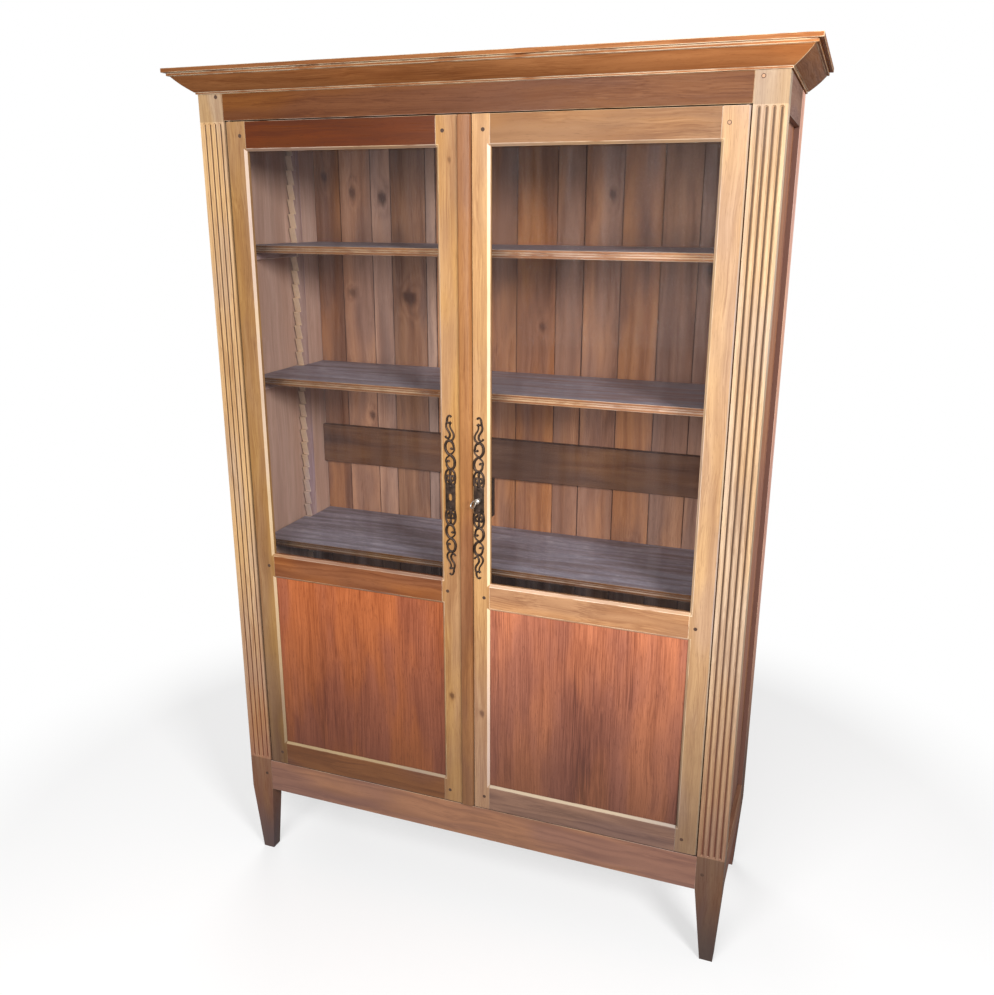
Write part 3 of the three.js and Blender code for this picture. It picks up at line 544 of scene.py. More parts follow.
def wood_values(tree, finish, grain):
    """The patterns, attributes, places and masks that a wood is made from."""
    look = FINISHES[finish]
    place = add(tree, "TexCoord", output="Object")
    values = {"place": place}
    for name in ("board", "wear", "bare", "hollow", "grey", "light", "soiled"):
        values[name] = add(tree, "Attribute", output="Fac", attribute_name=name)
    values["across"], _, values["height"] = add(tree, "SeparateXYZ", (place,)).node.outputs

    # Each piece has its own part of the patterns, and its grain wanders a little to both sides
    shift = add(tree, "VectorMath", {0: GRAIN_STEP, "Scale": values["board"]}, operation="SCALE")
    moved = add(tree, "VectorMath", (place, shift), operation="ADD")
    waves = add(tree, "TexNoise", {"Vector": moved, "Scale": 1 / (GRAIN_WAVE * MM), "Detail": 1}, "Color")
    aside = look.get("wander", 1) * GRAIN_WANDER * MM
    moved = add(tree, "VectorMath", (waves, [aside] * 3, moved), operation="MULTIPLY_ADD")
    for name, (across, along, detail) in GRAIN_SIZES.items():
        scale = [1 / (across * MM)] * 3
        scale["XYZ".index(grain)] = 1 / (along * MM)
        stretched = add(tree, "Mapping", {"Vector": moved, "Scale": scale})
        noise = {"Vector": stretched, "Scale": 1, "Detail": detail, "Roughness": GRAIN_ROUGHNESS}
        values[name] = add(tree, "TexNoise", noise)

    if finish in ("shelf", "side"):
        normal = add(tree, "NewGeometry", output="Normal")
        rightward, values["backward"], values["upward"] = add(tree, "SeparateXYZ", (normal,)).node.outputs
        values["outward"] = add(tree, "Math", (rightward, values["across"]), operation="MULTIPLY")
    for name, source, start, end, first, last, course, only in MASKS:
        if only in (None, finish):
            row = (values[source], start, end, first, look.get(name, last))
            values[name] = add(tree, "MapRange", row, interpolation_type=course)
    return values


def wood_marks(tree, marks, place):
    """Marks in a wood: how they shade it, how they bend its rings, and the dark cores of knots."""
    shade, bend, core = 0, 0, 0
    for x, z, half_width, half_height, shading, depth, bending in marks:
        offset = add(tree, "VectorMath", (place, (x, 0, z)), operation="SUBTRACT")
        sizes = (1 / half_width, 0, 1 / half_height)
        scaled = add(tree, "VectorMath", (offset, sizes), operation="MULTIPLY")
        wobble = add(tree, "TexNoise", {"Vector": scaled, "Scale": 0.9, "Detail": 2})
        reach = add(tree, "VectorMath", (scaled,), "Value", operation="LENGTH")
        uneven = add(tree, "Math", (wobble, 1.2, reach), operation="MULTIPLY_ADD")
        near = add(tree, "MapRange", (uneven, 0.5, 3.4, 1, 0), interpolation_type="SMOOTHSTEP")
        heart = add(tree, "MapRange", (uneven, 0.9, 1.7, depth, 0), interpolation_type="SMOOTHSTEP")
        shade = add(tree, "Math", (near, shading, shade), operation="MULTIPLY_ADD")
        bend = add(tree, "Math", (near, bending, bend), operation="MULTIPLY_ADD")
        core = add(tree, "Math", (core, heart), operation="MAXIMUM")
    return shade, bend, core


def wood_figure(tree, look, main, values, shade, bend):
    """The wood's own colour. Its growth rings are contour lines of the figure."""
    rings = add(tree, "Math", (values["figure"], look["rings"], values["fibre"]), operation="MULTIPLY_ADD")
    rings = add(tree, "Math", (rings, bend), operation="ADD")
    saw = add(tree, "Math", (rings, 0.5), operation="PINGPONG")
    ring_share, tone_share, fibre_share = look["shares"]
    weights = (
        (saw, 2 * ring_share), (values["tone"], 1.5 * tone_share), (values["fibre"], 1.5 * fibre_share),
    )
    # Each of the three parts has its mean at a half, and so has their sum
    start = 0.5 - ring_share / 2 - 0.75 * (tone_share + fibre_share)
    total = add(tree, "Math", (shade, start), operation="ADD")
    for value, share in weights:
        total = add(tree, "Math", (value, share, total), operation="MULTIPLY_ADD")
    spread = add(tree, "MapRange", (total, 0.5 - look["spread"], 0.5 + look["spread"]))
    ramp = add(tree, "ValToRGB", (spread,))
    stops = ramp.node.color_ramp.elements
    while len(stops) < len(TONES):
        stops.new(0.5)
    for stop, (position, tone) in zip(stops, TONES):
        stop.position = position
        stop.color = toned(main, tone)
    return ramp


def wood_layers(tree, finish, main, values, core, paint):
    """Everything that lies on the wood's own colour, from its pores to the dirt near the floor."""
    look = FINISHES[finish]
    # Arrises are rubbed pale on waxed wood, on the cornice also as a painted highlight, and filled with
    # dirt between bare boards
    arris = toned(main, JOINT_TONE)
    if finish != "board":
        bared = linear(look.get("arris", BARE_AND_LIT_CHAMFER))
        arris = tuple((a + 2 * b) / 3 for a, b in zip(toned(main, BARE_TONE), bared)) + (1,)
    worn = (values["handled"], values["wear"])
    layers = (
        # Pores are short dark dashes
        (values["pores"], toned(main, TONES[0][1])),
        (core, toned(main, KNOT_TONE)),
        (add(tree, "Math", worn, operation="MULTIPLY", use_clamp=True), arris),
        # The chamfers round the doors' openings are rubbed to bare wood, and those that face the light are
        # painted paler still as a painted highlight
        (values["bare"], opaque(BARE_AND_LIT_CHAMFER)),
        # Dark deep in the flutes, for old wax and dirt and as painted shade, and painted shade in the gaps
        # round the doors
        (values["recess_dirt_and_shade"], toned(main, RECESS_DIRT_AND_SHADE_TONE)),
        # Handling darkens broad areas a little
        (values["smudged"], toned(main, SMUDGE_TONE)),
        # Floor polish and dirt, with painted shade, blacken the feet and grey the lowest rails
        (values["low_dirt_and_shade"], opaque(look.get("floor_colour_dirt_and_shade", FLOOR_DIRT_AND_SHADE))),
        (values["foot_dirt_and_shade"], opaque(SOLE_DIRT_AND_SHADE)),
    )
    for mask, colour_over in layers:
        paint = add(tree, "Mix", {0: mask, 6: paint, 7: colour_over}, 2, data_type="RGBA")

    # Broad zones are more golden, others redder and duller
    golden, dull = (tint + (1,) for tint in look.get("zones", PLAIN_ZONES))
    tint = add(tree, "Mix", {0: values["dull"], 6: golden, 7: dull}, 2, data_type="RGBA")
    paint = add(tree, "Mix", {0: 1, 6: paint, 7: tint}, 2, data_type="RGBA", blend_type="MULTIPLY")
    kept = add(tree, "Math", (1, values["grey"]), operation="SUBTRACT")
    return add(tree, "HueSaturation", {"Saturation": kept, "Color": paint})


def wood_light(tree, look, values):
    """How light a wood is: each piece by itself, darker towards the floor for dirt and painted shade, and
    with painted light and shade where the light falls stronger or weaker.
    """
    light = add(tree, "Math", (values["light"], 1), operation="ADD")
    # Darker towards the floor: dirt and painted shade
    soiled = add(tree, "Math", (values["soiled"], values["lowness"]), operation="MULTIPLY")
    undimmed = add(tree, "Math", (1, soiled), operation="SUBTRACT")
    light = add(tree, "Math", (light, undimmed), operation="MULTIPLY")
    across, height = values["across"], values["height"]

    # The fluted length is paler than the plain ends: rubbed by hands and dusters, and painted shade on the
    # ends, such as the block under the cornice
    if "rubbed" in look:
        low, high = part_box("stile_hinge_left")
        above = add(tree, "Math", (height, low.z), operation="GREATER_THAN")
        below = add(tree, "Math", (height, high.z), operation="LESS_THAN")
        fluted = add(tree, "Math", (above, below), operation="MULTIPLY")
        light = add(tree, "Math", (fluted, look["rubbed"], light), operation="MULTIPLY_ADD")

    # Painted shade: the back boards are painted darker at the top, and darkest at the top right, where
    # shade falls inside the case
    if "back_shade" in look:
        low, low_lights, high, high_lights = look["back_shade"]
        lights = [
            add(tree, "MapRange", (across, -BACK_REACH, BACK_REACH, *ends))
            for ends in (low_lights, high_lights)
        ]
        back_shade = add(tree, "MapRange", (height, low, high, *lights))
        light = add(tree, "Math", (light, back_shade), operation="MULTIPLY")

    # Painted light: the cornice and the shelves are painted lighter towards their right ends, where the
    # light falls stronger
    if "lit_towards_right" in look:
        start, *ends = look["lit_towards_right"]
        lit_towards_right = add(tree, "MapRange", (across, start, cad_box[1][0], *ends))
        light = add(tree, "Math", (light, lit_towards_right), operation="MULTIPLY")
    return light


def dusty(tree, values, paint):
    """Dust on what faces up inside the case, thinner where things were slid about."""
    film = add(tree, "Math", (values["topside"], values["settled"]), operation="MULTIPLY")
    scratched = add(tree, "Math", (values["scratched"], values["scuffed"]), operation="MAXIMUM")
    whole, thin = (toned(bpy.context.scene.bookcase_colours.dust, tone) for tone in DUST_TONES)
    dust = add(tree, "Mix", {0: scratched, 6: whole, 7: thin}, 2, data_type="RGBA")
    return add(tree, "Mix", {0: film, 6: paint, 7: dust}, 2, data_type="RGBA")


def unwaxed(tree, main, values, paint):
    """The sides' inner faces, pale and grey, partly painted light, and the rear posts' fronts, grey left
    and in painted shade right.
    """
    on_right = add(tree, "Math", (values["across"], 0), operation="GREATER_THAN")
    shaded_right = toned(main, INSIDE_RIGHT_SHADE)
    aged = add(tree, "Mix", {0: on_right, 6: opaque(INSIDE_LEFT), 7: shaded_right}, 2, data_type="RGBA")
    dark, pale = map(opaque, INSIDE_STREAKS)
    faded = add(tree, "Mix", {0: values["tone"], 6: dark, 7: pale}, 2, data_type="RGBA")
    faded = add(tree, "Mix", {0: values["fibre"], 6: opaque(INSIDE_FIBRES), 7: faded}, 2, data_type="RGBA")
    for mask, over in ((values["front"], aged), (values["inside"], faded)):
        paint = add(tree, "Mix", {0: mask, 6: paint, 7: over}, 2, data_type="RGBA")
    return paint


def wood(finish, grain):
    """The material of one wooden finish with its grain along X, Y or Z."""
    if (finish, grain) in made_woods:
        return made_woods[finish, grain]
    look = FINISHES[finish]
    main = getattr(bpy.context.scene.bookcase_colours, finish)
    material, tree, shader = new_material(f"{look['made']}, grain along {grain}")
    values = wood_values(tree, finish, grain)
    marks = MARKS.get(finish, ()) if grain == "Z" else ()
    shade, bend, core = wood_marks(tree, marks, values["place"])
    paint = wood_figure(tree, look, main, values, shade, bend)
    paint = wood_layers(tree, finish, main, values, core, paint)
    light = wood_light(tree, look, values)
    paint = add(tree, "VectorMath", {0: paint, "Scale": light}, operation="SCALE")
    if finish == "shelf":
        paint = dusty(tree, values, paint)
    if finish == "side":
        paint = unwaxed(tree, main, values, paint)
    rough = look["roughness"]
    relief = add(tree, "Math", (values["pores"], -1.5, values["fibre"]), operation="MULTIPLY_ADD")
    fill(tree, shader, {
        "Base Color": paint,
        "Roughness": add(tree, "MapRange", (values["fibre"], 0.3, 0.7, rough + 0.08, rough - 0.06)),
        "Normal": add(tree, "Bump", {"Height": relief, "Strength": look["relief"], "Distance": 0.6 * MM}),
        "Specular IOR Level": look.get("gloss", 0.15),
        "Coat Weight": look["wax"],
        "Coat Roughness": 0.25,
    })
    made_woods[finish, grain] = material
    return material


def mottled(made, spot, stops, bump, strength, depth):
    """A material with two mottled colours and with bumps.

    Spots and bumps are given as (size in millimetres, detail), and the stops as (place, colour).
    """
    material, tree, shader = new_material(made)
    place = add(tree, "TexCoord", output="Object")
    spots, bumps = (
        add(tree, "TexNoise", {"Vector": place, "Scale": 1 / (size * MM), "Detail": detail})
        for size, detail in (spot, bump)
    )
    ramp = add(tree, "ValToRGB", (spots,))
    for stop, (position, shown) in zip(ramp.node.color_ramp.elements, stops):
        stop.position = position
        stop.color = shown
    bumped = add(tree, "Bump", {"Height": bumps, "Strength": strength, "Distance": depth * MM})
    fill(tree, shader, {"Base Color": ramp, "Normal": bumped})
    return material, tree, shader, spots, bumps, ramp


def wrought_iron():
    """Wrought iron, hammered, blackened and worn: nearly black-brown with a grey sheen on high spots."""
    main = bpy.context.scene.bookcase_colours.iron
    # Dark spots of rust, and pale spots that are a painted grey sheen
    rust_and_sheen = ((0.35, toned(main, (0.55, 0.5, 0.5))), (0.68, toned(main, (1.7, 1.5, 1.35))))
    material, tree, shader, _, hammer, _ = mottled(
        "Wrought iron, hammered and blackened", (14, 4), rust_and_sheen, (5, 3), 0.5, 0.5
    )
    rough = add(tree, "MapRange", (hammer, 0.3, 0.7, 0.36, 0.6))
    fill(tree, shader, {"Roughness": rough, "Metallic": 0.75})
    return material


def worn_steel():
    """Mild steel, filed and rubbed bright by hands, with a few dull spots."""
    main = bpy.context.scene.bookcase_colours.steel
    dull = ((0.3, toned(main, (0.45, 0.42, 0.4))), (0.5, toned(main, (1, 1, 1))))
    material, tree, shader, spots, _, _ = mottled(
        "Mild steel, filed and rubbed bright", (6, 4), dull, (1.5, 2), 0.25, 0.2
    )
    rough = add(tree, "MapRange", (spots, 0.3, 0.7, 0.55, 0.36))
    fill(tree, shader, {"Roughness": rough, "Metallic": 1})
    return material


def peg_wood():
    """Oak pegs, riven and driven in: end grain nearly black with dirt, rubbed pale on a few."""
    end_grain = ((0.35, opaque("#2e1d12")), (0.7, opaque("#543625")))
    material, tree, shader, _, _, dark = mottled(
        "Oak, riven, dark end grain", (1.6, 2), end_grain, (1.6, 2), 0.5, 0.3
    )
    pale = add(tree, "Attribute", output="Fac", attribute_name="pale")
    paint = add(tree, "Mix", {0: pale, 6: dark, 7: opaque("#b58c6c")}, 2, data_type="RGBA")
    fill(tree, shader, {"Base Color": paint, "Roughness": 0.7})
    return material


def old_glass():
    """Drawn sheet glass: clear with slight waves, and a thin violet-grey veil with upright wipe marks."""
    material, tree, shader = new_material("Drawn sheet glass, old and dusty")
    place = add(tree, "TexCoord", output="Object")
    waves, wipes = (
        add(tree, "TexNoise", {
            "Vector": add(tree, "Mapping", {"Vector": place, "Scale": scale}), "Scale": 1, "Detail": detail
        })
        for scale, detail in (((9, 9, 3.5), 1), ((38, 38, 2.2), 4))
    )
    veil = add(tree, "MapRange", (wipes, 0.35, 0.75, 0.01, 0.04))
    # Seen edge-on, a pane hides half of what lies behind it
    slant = add(tree, "LayerWeight", {"Blend": 0.5}, "Facing")
    edge_on = add(tree, "Math", (slant, 4), operation="POWER")
    fill(tree, shader, {
        "Alpha": add(tree, "Math", (edge_on, 0.5, veil), operation="MULTIPLY_ADD"),
        "Normal": add(tree, "Bump", {"Height": waves, "Strength": 0.2, "Distance": 1 * MM}),
        "Base Color": toned(bpy.context.scene.bookcase_colours.pane, (1, 1, 1)),
        "Roughness": 0.06,
    })
    return material


def focus(*pieces):
    """Makes these pieces the only selected ones, and the first of them the active one."""
    bpy.ops.object.select_all(action="DESELECT")
    for piece in pieces:
        piece.select_set(True)
    bpy.context.view_layer.objects.active = pieces[0]


def pick(piece, kind, test):
    """Selects the vertices, edges or faces that pass a test, in edit mode."""
    bpy.ops.mesh.select_mode(type=kind)
    bpy.ops.mesh.select_all(action="DESELECT")
    mesh = bmesh.from_edit_mesh(piece.data)
    for part in {"VERT": mesh.verts, "EDGE": mesh.edges, "FACE": mesh.faces}[kind]:
        if test(part):
            part.select_set(True)
    mesh.select_flush_mode()
    bmesh.update_edit_mesh(piece.data)


def started(primitive, **settings):
    """A primitive as a start for a piece, with nothing else selected."""
    bpy.ops.object.select_all(action="DESELECT")
    primitive(**settings)
    bpy.ops.object.transform_apply(location=True, rotation=True, scale=True)
    return bpy.context.object


def named_block(name, low, high):
    """A block between two corners, as a start for a piece."""
    middle = (Vector(low) + Vector(high)) / 2
    size = Vector(high) - Vector(low)
    piece = started(bpy.ops.mesh.primitive_cube_add, size=1, location=middle, scale=size)
    piece.name = name
    return piece


def modified(piece, name, kind, **settings):
    """Gives a piece a modifier with its settings, and applies it."""
    focus(piece)
    modifier = piece.modifiers.new(name, kind)
    for key, value in settings.items():
        setattr(modifier, key, value)
    bpy.ops.object.modifier_apply(modifier=modifier.name)


def carved(piece, name, cutter):
    """Cuts another piece's shape out of a piece, and takes that one away."""
    modified(piece, name, "BOOLEAN", operation="DIFFERENCE", object=cutter)
    bpy.data.objects.remove(cutter)


def joined(name, parts):
    """Makes one piece of several."""
    focus(*parts)
    bpy.ops.object.join()
    parts[0].name = name
    return parts[0]


def edge_x(node, way):
    """Where a solid has its right edge, or its left edge if way is negative."""
    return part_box(node)[1 if way > 0 else 0].x


def marked(piece, name, value, domain="FACE"):
    """Gives a piece an attribute, with the same value for all faces or with a list of values."""
    values = value if isinstance(value, list) else [value] * len(piece.data.polygons)
    piece.data.attributes.new(name, "FLOAT", domain).data.foreach_set("value", values)


def planed(node):
    """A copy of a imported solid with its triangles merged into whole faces."""
    piece = bpy.data.objects.new("finished_" + node, frame["nodes"][node].data.copy())
    bpy.context.scene.collection.objects.link(piece)
    focus(piece)
    bpy.ops.mesh.customdata_custom_splitnormals_clear()
    bpy.ops.object.mode_set(mode="EDIT")
    bpy.ops.mesh.select_mode(type="VERT")
    bpy.ops.mesh.select_all(action="SELECT")
    bpy.ops.mesh.remove_doubles(threshold=WELD)
    bpy.ops.mesh.dissolve_limited(angle_limit=FLAT_ANGLE)
    bpy.ops.object.mode_set(mode="OBJECT")
    return piece


def eased(piece, radius, segments=2, worn=1):
    """Rounds a piece's arrises and marks how worn they are in its wear attribute."""
    focus(piece)
    piece.data.materials.clear()
    for _ in range(2):
        piece.data.materials.append(None)
    bpy.ops.object.shade_smooth_by_angle(angle=SMOOTH_ANGLE)
    modified(
        piece, "Worn arrises", "BEVEL", width=radius, segments=segments, limit_method="ANGLE",
        angle_limit=ARRIS_ANGLE, material=1, harden_normals=True,
    )
    mesh = piece.data
    marked(piece, "wear", [worn * face.material_index for face in mesh.polygons])
    mesh.polygons.foreach_set("material_index", [0] * len(mesh.polygons))
    mesh.materials.clear()
    return piece


def numbered(piece, node):
    """Gives a piece the number that picks its grain, and its own lightness, greyness, and darkening towards
    the floor for dirt and painted shade.
    """
    light, grey, soiled = NODE_LIGHTS.get(node, PLAIN_LIGHTS)
    marked(piece, "board", random.Random(piece.name).randint(1, 9) + 0.5)
    marked(piece, "light", light - 1)
    marked(piece, "grey", grey)
    marked(piece, "soiled", soiled)


def settled(piece, material, *nodes):
    """Gives a piece its material, and sets it in the place of the nodes that it stands for."""
    piece.data.materials.clear()
    piece.data.materials.append(material)
    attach(piece, BODY_OF[nodes[0]])
    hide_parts(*nodes)


def repainted(node, material):
    """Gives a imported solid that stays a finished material."""
    node_object = frame["nodes"][node]
    node_object.data.materials.clear()
    node_object.data.materials.append(material)


def bare_and_lit_chamfers(piece):
    """Marks the broad slanting faces round a door's openings, whose finish has been rubbed off.

    Those that face the light, at the left of each opening and under each panel, are marked fully, as a
    painted highlight; the others a little, as wear.
    """
    low_rail = piece.name.startswith("finished_rail_bottom")
    values = []
    for face in piece.data.polygons:
        slanting = 0.55 < abs(face.normal.y) < 0.85 and face.area > CHAMFER_AREA
        # Chamfers that face the light get the painted highlight in full
        most = face.normal.x > 0.5 or (low_rail and face.normal.z > 0.5)
        values.append((1 if most else 0.25) if slanting else 0)
    marked(piece, "bare", values)


def shaded_gaps(piece):
    """Marks the faces in the narrow gaps round the doors, which are painted dark as shade."""
    values = [0] * len(piece.data.polygons)
    for name, side in SIDES:
        hinge_low, hinge_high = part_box("stile_hinge_" + name)
        outer = edge_x("stile_hinge_" + name, side)
        inner = edge_x("stile_meeting_" + name, -side)
        for face in piece.data.polygons:
            middle = face.center
            if face.normal.y < -0.9 or side * middle.x < -GAP_REACH:
                continue
            level = min(abs(middle.z - hinge_low.z), abs(middle.z - hinge_high.z))
            if min(abs(middle.x - inner), level) < GAP_REACH:
                values[face.index] = GAP_SHADE
            elif abs(middle.x - outer) < GAP_REACH:
                values[face.index] = HINGE_GAP_SHADE[side]
    marked(piece, "hollow", values)


def finish_copy(node, finish, grain, radius=None, segments=2, worn=1):
    """Puts a planed and eased copy of a wooden solid in its place."""
    piece = eased(planed(node), radius or bpy.context.scene.bookcase_sizes.arris, segments, worn)
    # Chamfers round the openings: worn pale, and a painted highlight where they face the light
    if finish in ("stile", "door_rail", "honey_rail", "red_rail"):
        bare_and_lit_chamfers(piece)
    # The gaps round the doors are painted dark as shade
    if finish in ("stile", "door_rail", "honey_rail", "red_rail", "frieze"):
        shaded_gaps(piece)
    # The cleats have rubbed the racks' toothed edges pale
    if node.startswith("rack"):
        marked(piece, "bare", [0.6 if abs(face.normal.x) < 0.5 else 0 for face in piece.data.polygons])
    numbered(piece, node)
    settled(piece, wood(finish, grain), node)


class BOOKCASE_OT_stage(bpy.types.Operator):
    """Lay the pale floor and set the soft lights and the camera"""

    bl_idname = "bookcase.stage"
    bl_label = "Stage, lights and camera"

    def execute(self, context):
        sizes = context.scene.bookcase_sizes
        bpy.ops.object.select_all(action="DESELECT")
        turn = Matrix.Identity(3)
        for degrees, axis in CAMERA_TURNS:
            turn = turn @ Matrix.Rotation(math.radians(degrees), 3, axis)
        bpy.ops.object.camera_add(location=CAMERA_PLACE, rotation=turn.to_euler())
        context.scene.camera = context.object
        context.object.data.lens = CAMERA_LENS

        floor = started(
            bpy.ops.mesh.primitive_circle_add, vertices=96, radius=FLOOR_RADIUS, fill_type="NGON"
        )
        floor.name = "floor"
        material, tree, shader = new_material("Painted plaster floor, rolled")
        place = add(tree, "TexCoord", output="Object")
        speckle = add(tree, "TexNoise", {"Vector": place, "Scale": 60, "Detail": 3})
        ramp = add(tree, "ValToRGB", (speckle,))
        for stop, tone in zip(ramp.node.color_ramp.elements, FLOOR_TONES):
            stop.color = tone
        seen = add(tree, "LightPath", output="Is Camera Ray")
        pale = add(tree, "Mix", {0: seen, 6: ramp, 7: FLOOR_SEEN}, 2, data_type="RGBA")
        fill(tree, shader, {"Base Color": pale, "Roughness": 0.9, "Specular IOR Level": 0})
        away = add(tree, "VectorMath", (place,), "Value", operation="LENGTH")
        far = add(tree, "MapRange", (away, *FLOOR_FADE), interpolation_type="SMOOTHSTEP")
        whitened = add(tree, "Math", (far, 0.5), operation="MAXIMUM")
        faded = add(tree, "Math", (whitened, seen), operation="MULTIPLY")
        glow = add(tree, "Emission", {"Color": WHITE, "Strength": 1})
        blend = add(tree, "MixShader", (faded, shader.outputs[0], glow))
        fill(tree, tree.nodes["Material Output"], {"Surface": blend})
        floor.data.materials.append(material)

        # What is seen through glass or in metal is as white as the backdrop
        world = bpy.data.worlds.new("Pale studio")
        world.use_nodes = True
        context.scene.world = world
        tree = world.node_tree
        path = add(tree, "LightPath").node.outputs
        rays = (path["Is Camera Ray"], path["Is Transmission Ray"])
        shown = add(tree, "Math", rays, operation="MAXIMUM")
        shown = add(tree, "Math", (shown, path["Is Glossy Ray"]), operation="MAXIMUM")
        strength = add(tree, "MapRange", (shown, 0, 1, sizes.room_light, 1))
        fill(tree, tree.nodes["Background"], {"Color": WHITE, "Strength": strength})

        for name, spot, aim, width in LAMPS:
            bpy.ops.object.light_add(type="AREA", location=spot)
            lamp = context.object
            lamp.name = name
            lamp.data.size = width
            lamp.data.energy = getattr(sizes, name + "_light")
            toward = Vector(aim) - Vector(spot)
            lamp.rotation_euler = toward.to_track_quat("-Z", "Y").to_euler()
        context.scene.view_settings.view_transform = "Standard"
        return {"FINISHED"}


class BOOKCASE_OT_front_posts(bpy.types.Operator):
    """Make the two fluted front posts on their tapered feet"""

    bl_idname = "bookcase.front_posts"
    bl_label = "Front posts"

    def execute(self, context):
        for name, side in SIDES:
            node = "post_front_" + name
            low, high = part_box(node)
            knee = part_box("rail_front_bottom")[0].z
            post = named_block("finished_" + node, (low.x, low.y, knee), high)
            bpy.ops.object.mode_set(mode="EDIT")
            pick(post, "FACE", lambda face: face.normal.z < -0.9)
            bpy.ops.mesh.extrude_region_move(TRANSFORM_OT_translate={"value": (0, 0, -knee)})
            narrowed = SOLE_WIDTH / (high.x - low.x)
            turned_from = edge_x(node, -side) + side * FOOT_INNER_TAPER / (1 - narrowed)
            bpy.ops.transform.resize(
                value=(narrowed, SOLE_DEPTH / (high.y - low.y), 1),
                center_override=(turned_from, high.y, 0),
            )
            bpy.ops.object.mode_set(mode="OBJECT")

            door_low, door_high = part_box("stile_hinge_" + name)
            first = (low.x + high.x) / 2 - (FLUTE_COUNT - 1) / 2 * FLUTE_PITCH
            cutter = started(
                bpy.ops.mesh.primitive_cylinder_add,
                vertices=FLUTE_SIDES,
                radius=FLUTE_RADIUS,
                depth=door_high.z - door_low.z - 2 * FLUTE_END_INSET,
                location=(first, low.y, (door_low.z + door_high.z) / 2),
            )
            bpy.ops.object.mode_set(mode="EDIT")
            pick(cutter, "EDGE", lambda edge: abs(edge.verts[0].co.z - edge.verts[1].co.z) < WELD)
            bpy.ops.mesh.bevel(
                offset=FLUTE_RADIUS * FLUTE_END_ROUND, segments=FLUTE_END_STEPS, affect="EDGES"
            )
            bpy.ops.mesh.select_all(action="SELECT")
            for _ in range(FLUTE_COUNT - 1):
                bpy.ops.mesh.duplicate_move(TRANSFORM_OT_translate={"value": (FLUTE_PITCH, 0, 0)})
            bpy.ops.object.mode_set(mode="OBJECT")
            carved(post, "Flutes", cutter)
            eased(post, LAND_ROUND)
            # How deep each point lies in a flute; the deepest are painted dark, for dirt and as painted
            # shade
            depths = []
            for vertex in post.data.vertices:
                depth = (vertex.co.y - low.y) / FLUTE_RADIUS
                fluted = door_low.z < vertex.co.z < door_high.z and depth < 1.01
                depths.append(depth if fluted else 0)
            marked(post, "hollow", depths, "POINT")
            numbered(post, node)
            settled(post, wood("post", "Z"), node)
        return {"FINISHED"}


class BOOKCASE_OT_case_frame(bpy.types.Operator):
    """Finish the case's rails, rear posts and side panels"""

    bl_idname = "bookcase.case_frame"
    bl_label = "Case frame"

    def execute(self, context):
        finish_copy("rail_front_top", "frieze", "X")
        finish_copy("rail_front_bottom", "door_rail", "X")
        for name, _ in SIDES:
            for node, grain in (
                ("post_rear", "Z"), ("rail_side_top", "Y"), ("rail_side_bottom", "Y"), ("panel_side", "Z"),
            ):
                finish_copy(f"{node}_{name}", "side", grain)
        for level in ("top", "middle", "bottom"):
            finish_copy("rail_rear_" + level, "board", "X", REAR_RAIL_ROUND)
        for level in ("top", "bottom"):
            finish_copy("board_" + level, "shelf", "X")
        return {"FINISHED"}


class BOOKCASE_OT_cornice(bpy.types.Operator):
    """Finish the three mitred lengths of the cornice"""

    bl_idname = "bookcase.cornice"
    bl_label = "Cornice"

    def execute(self, context):
        for length, grain in (("front", "X"), ("left", "Y"), ("right", "Y")):
            finish_copy("cornice_" + length, "cornice", grain, MOULDING_ROUND)
        return {"FINISHED"}


class BOOKCASE_OT_back_boards(bpy.types.Operator):
    """Make the upright boards of the back"""

    bl_idname = "bookcase.back_boards"
    bl_label = "Back boards"

    def execute(self, context):
        clear_low = edge_x("boards_back_left", -1)
        clear_high = edge_x("boards_back_right", 1)
        joints = [clear_low + share * (clear_high - clear_low) for share in BOARD_JOINTS]
        number_of_board = 0
        for group in ("left", "centre", "right"):
            node = "boards_back_" + group
            low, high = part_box(node)
            edges = [low.x] + [x for x in joints if low.x < x < high.x] + [high.x]
            planks = []
            for left, right in zip(edges, edges[1:]):
                plank = named_block("plank", (left, low.y, low.z), (right, high.y, high.z))
                eased(plank, BOARD_ROUND, 1)
                light, grey = BOARD_LIGHTS[number_of_board]
                marked(plank, "board", number_of_board + 0.5)
                marked(plank, "light", light - 1)
                marked(plank, "grey", grey)
                planks.append(plank)
                number_of_board += 1
            settled(joined("finished_" + node, planks), wood("board", "Z"), node)
        return {"FINISHED"}


class BOOKCASE_OT_shelves(bpy.types.Operator):
    """Finish the shelves with moulded front edges, and their racks and cleats"""

    bl_idname = "bookcase.shelves"
    bl_label = "Shelves and racks"

    def execute(self, context):
        for level in ("upper", "middle", "lower"):
            node = "shelf_" + level
            shelf = planed(node)
            bpy.ops.object.mode_set(mode="EDIT")
            pick(shelf, "FACE", lambda face: face.normal.y < -0.9)
            bpy.ops.mesh.inset(thickness=SHELF_BEAD, depth=0)
            bpy.ops.mesh.inset(thickness=SHELF_QUIRK_SLOPE, depth=-SHELF_QUIRK)
            bpy.ops.object.mode_set(mode="OBJECT")
            eased(shelf, context.scene.bookcase_sizes.shelf_nose, 3)
            numbered(shelf, node)
            settled(shelf, wood("shelf", "X"), node)
            for name, _ in SIDES:
                finish_copy(f"cleat_{level}_{name}", "rack", "Y", CLEAT_ROUND)
        for name, _ in SIDES:
            for end in ("front", "rear"):
                finish_copy(f"rack_{end}_{name}", "rack", "Z", RACK_ROUND)
        return {"FINISHED"}


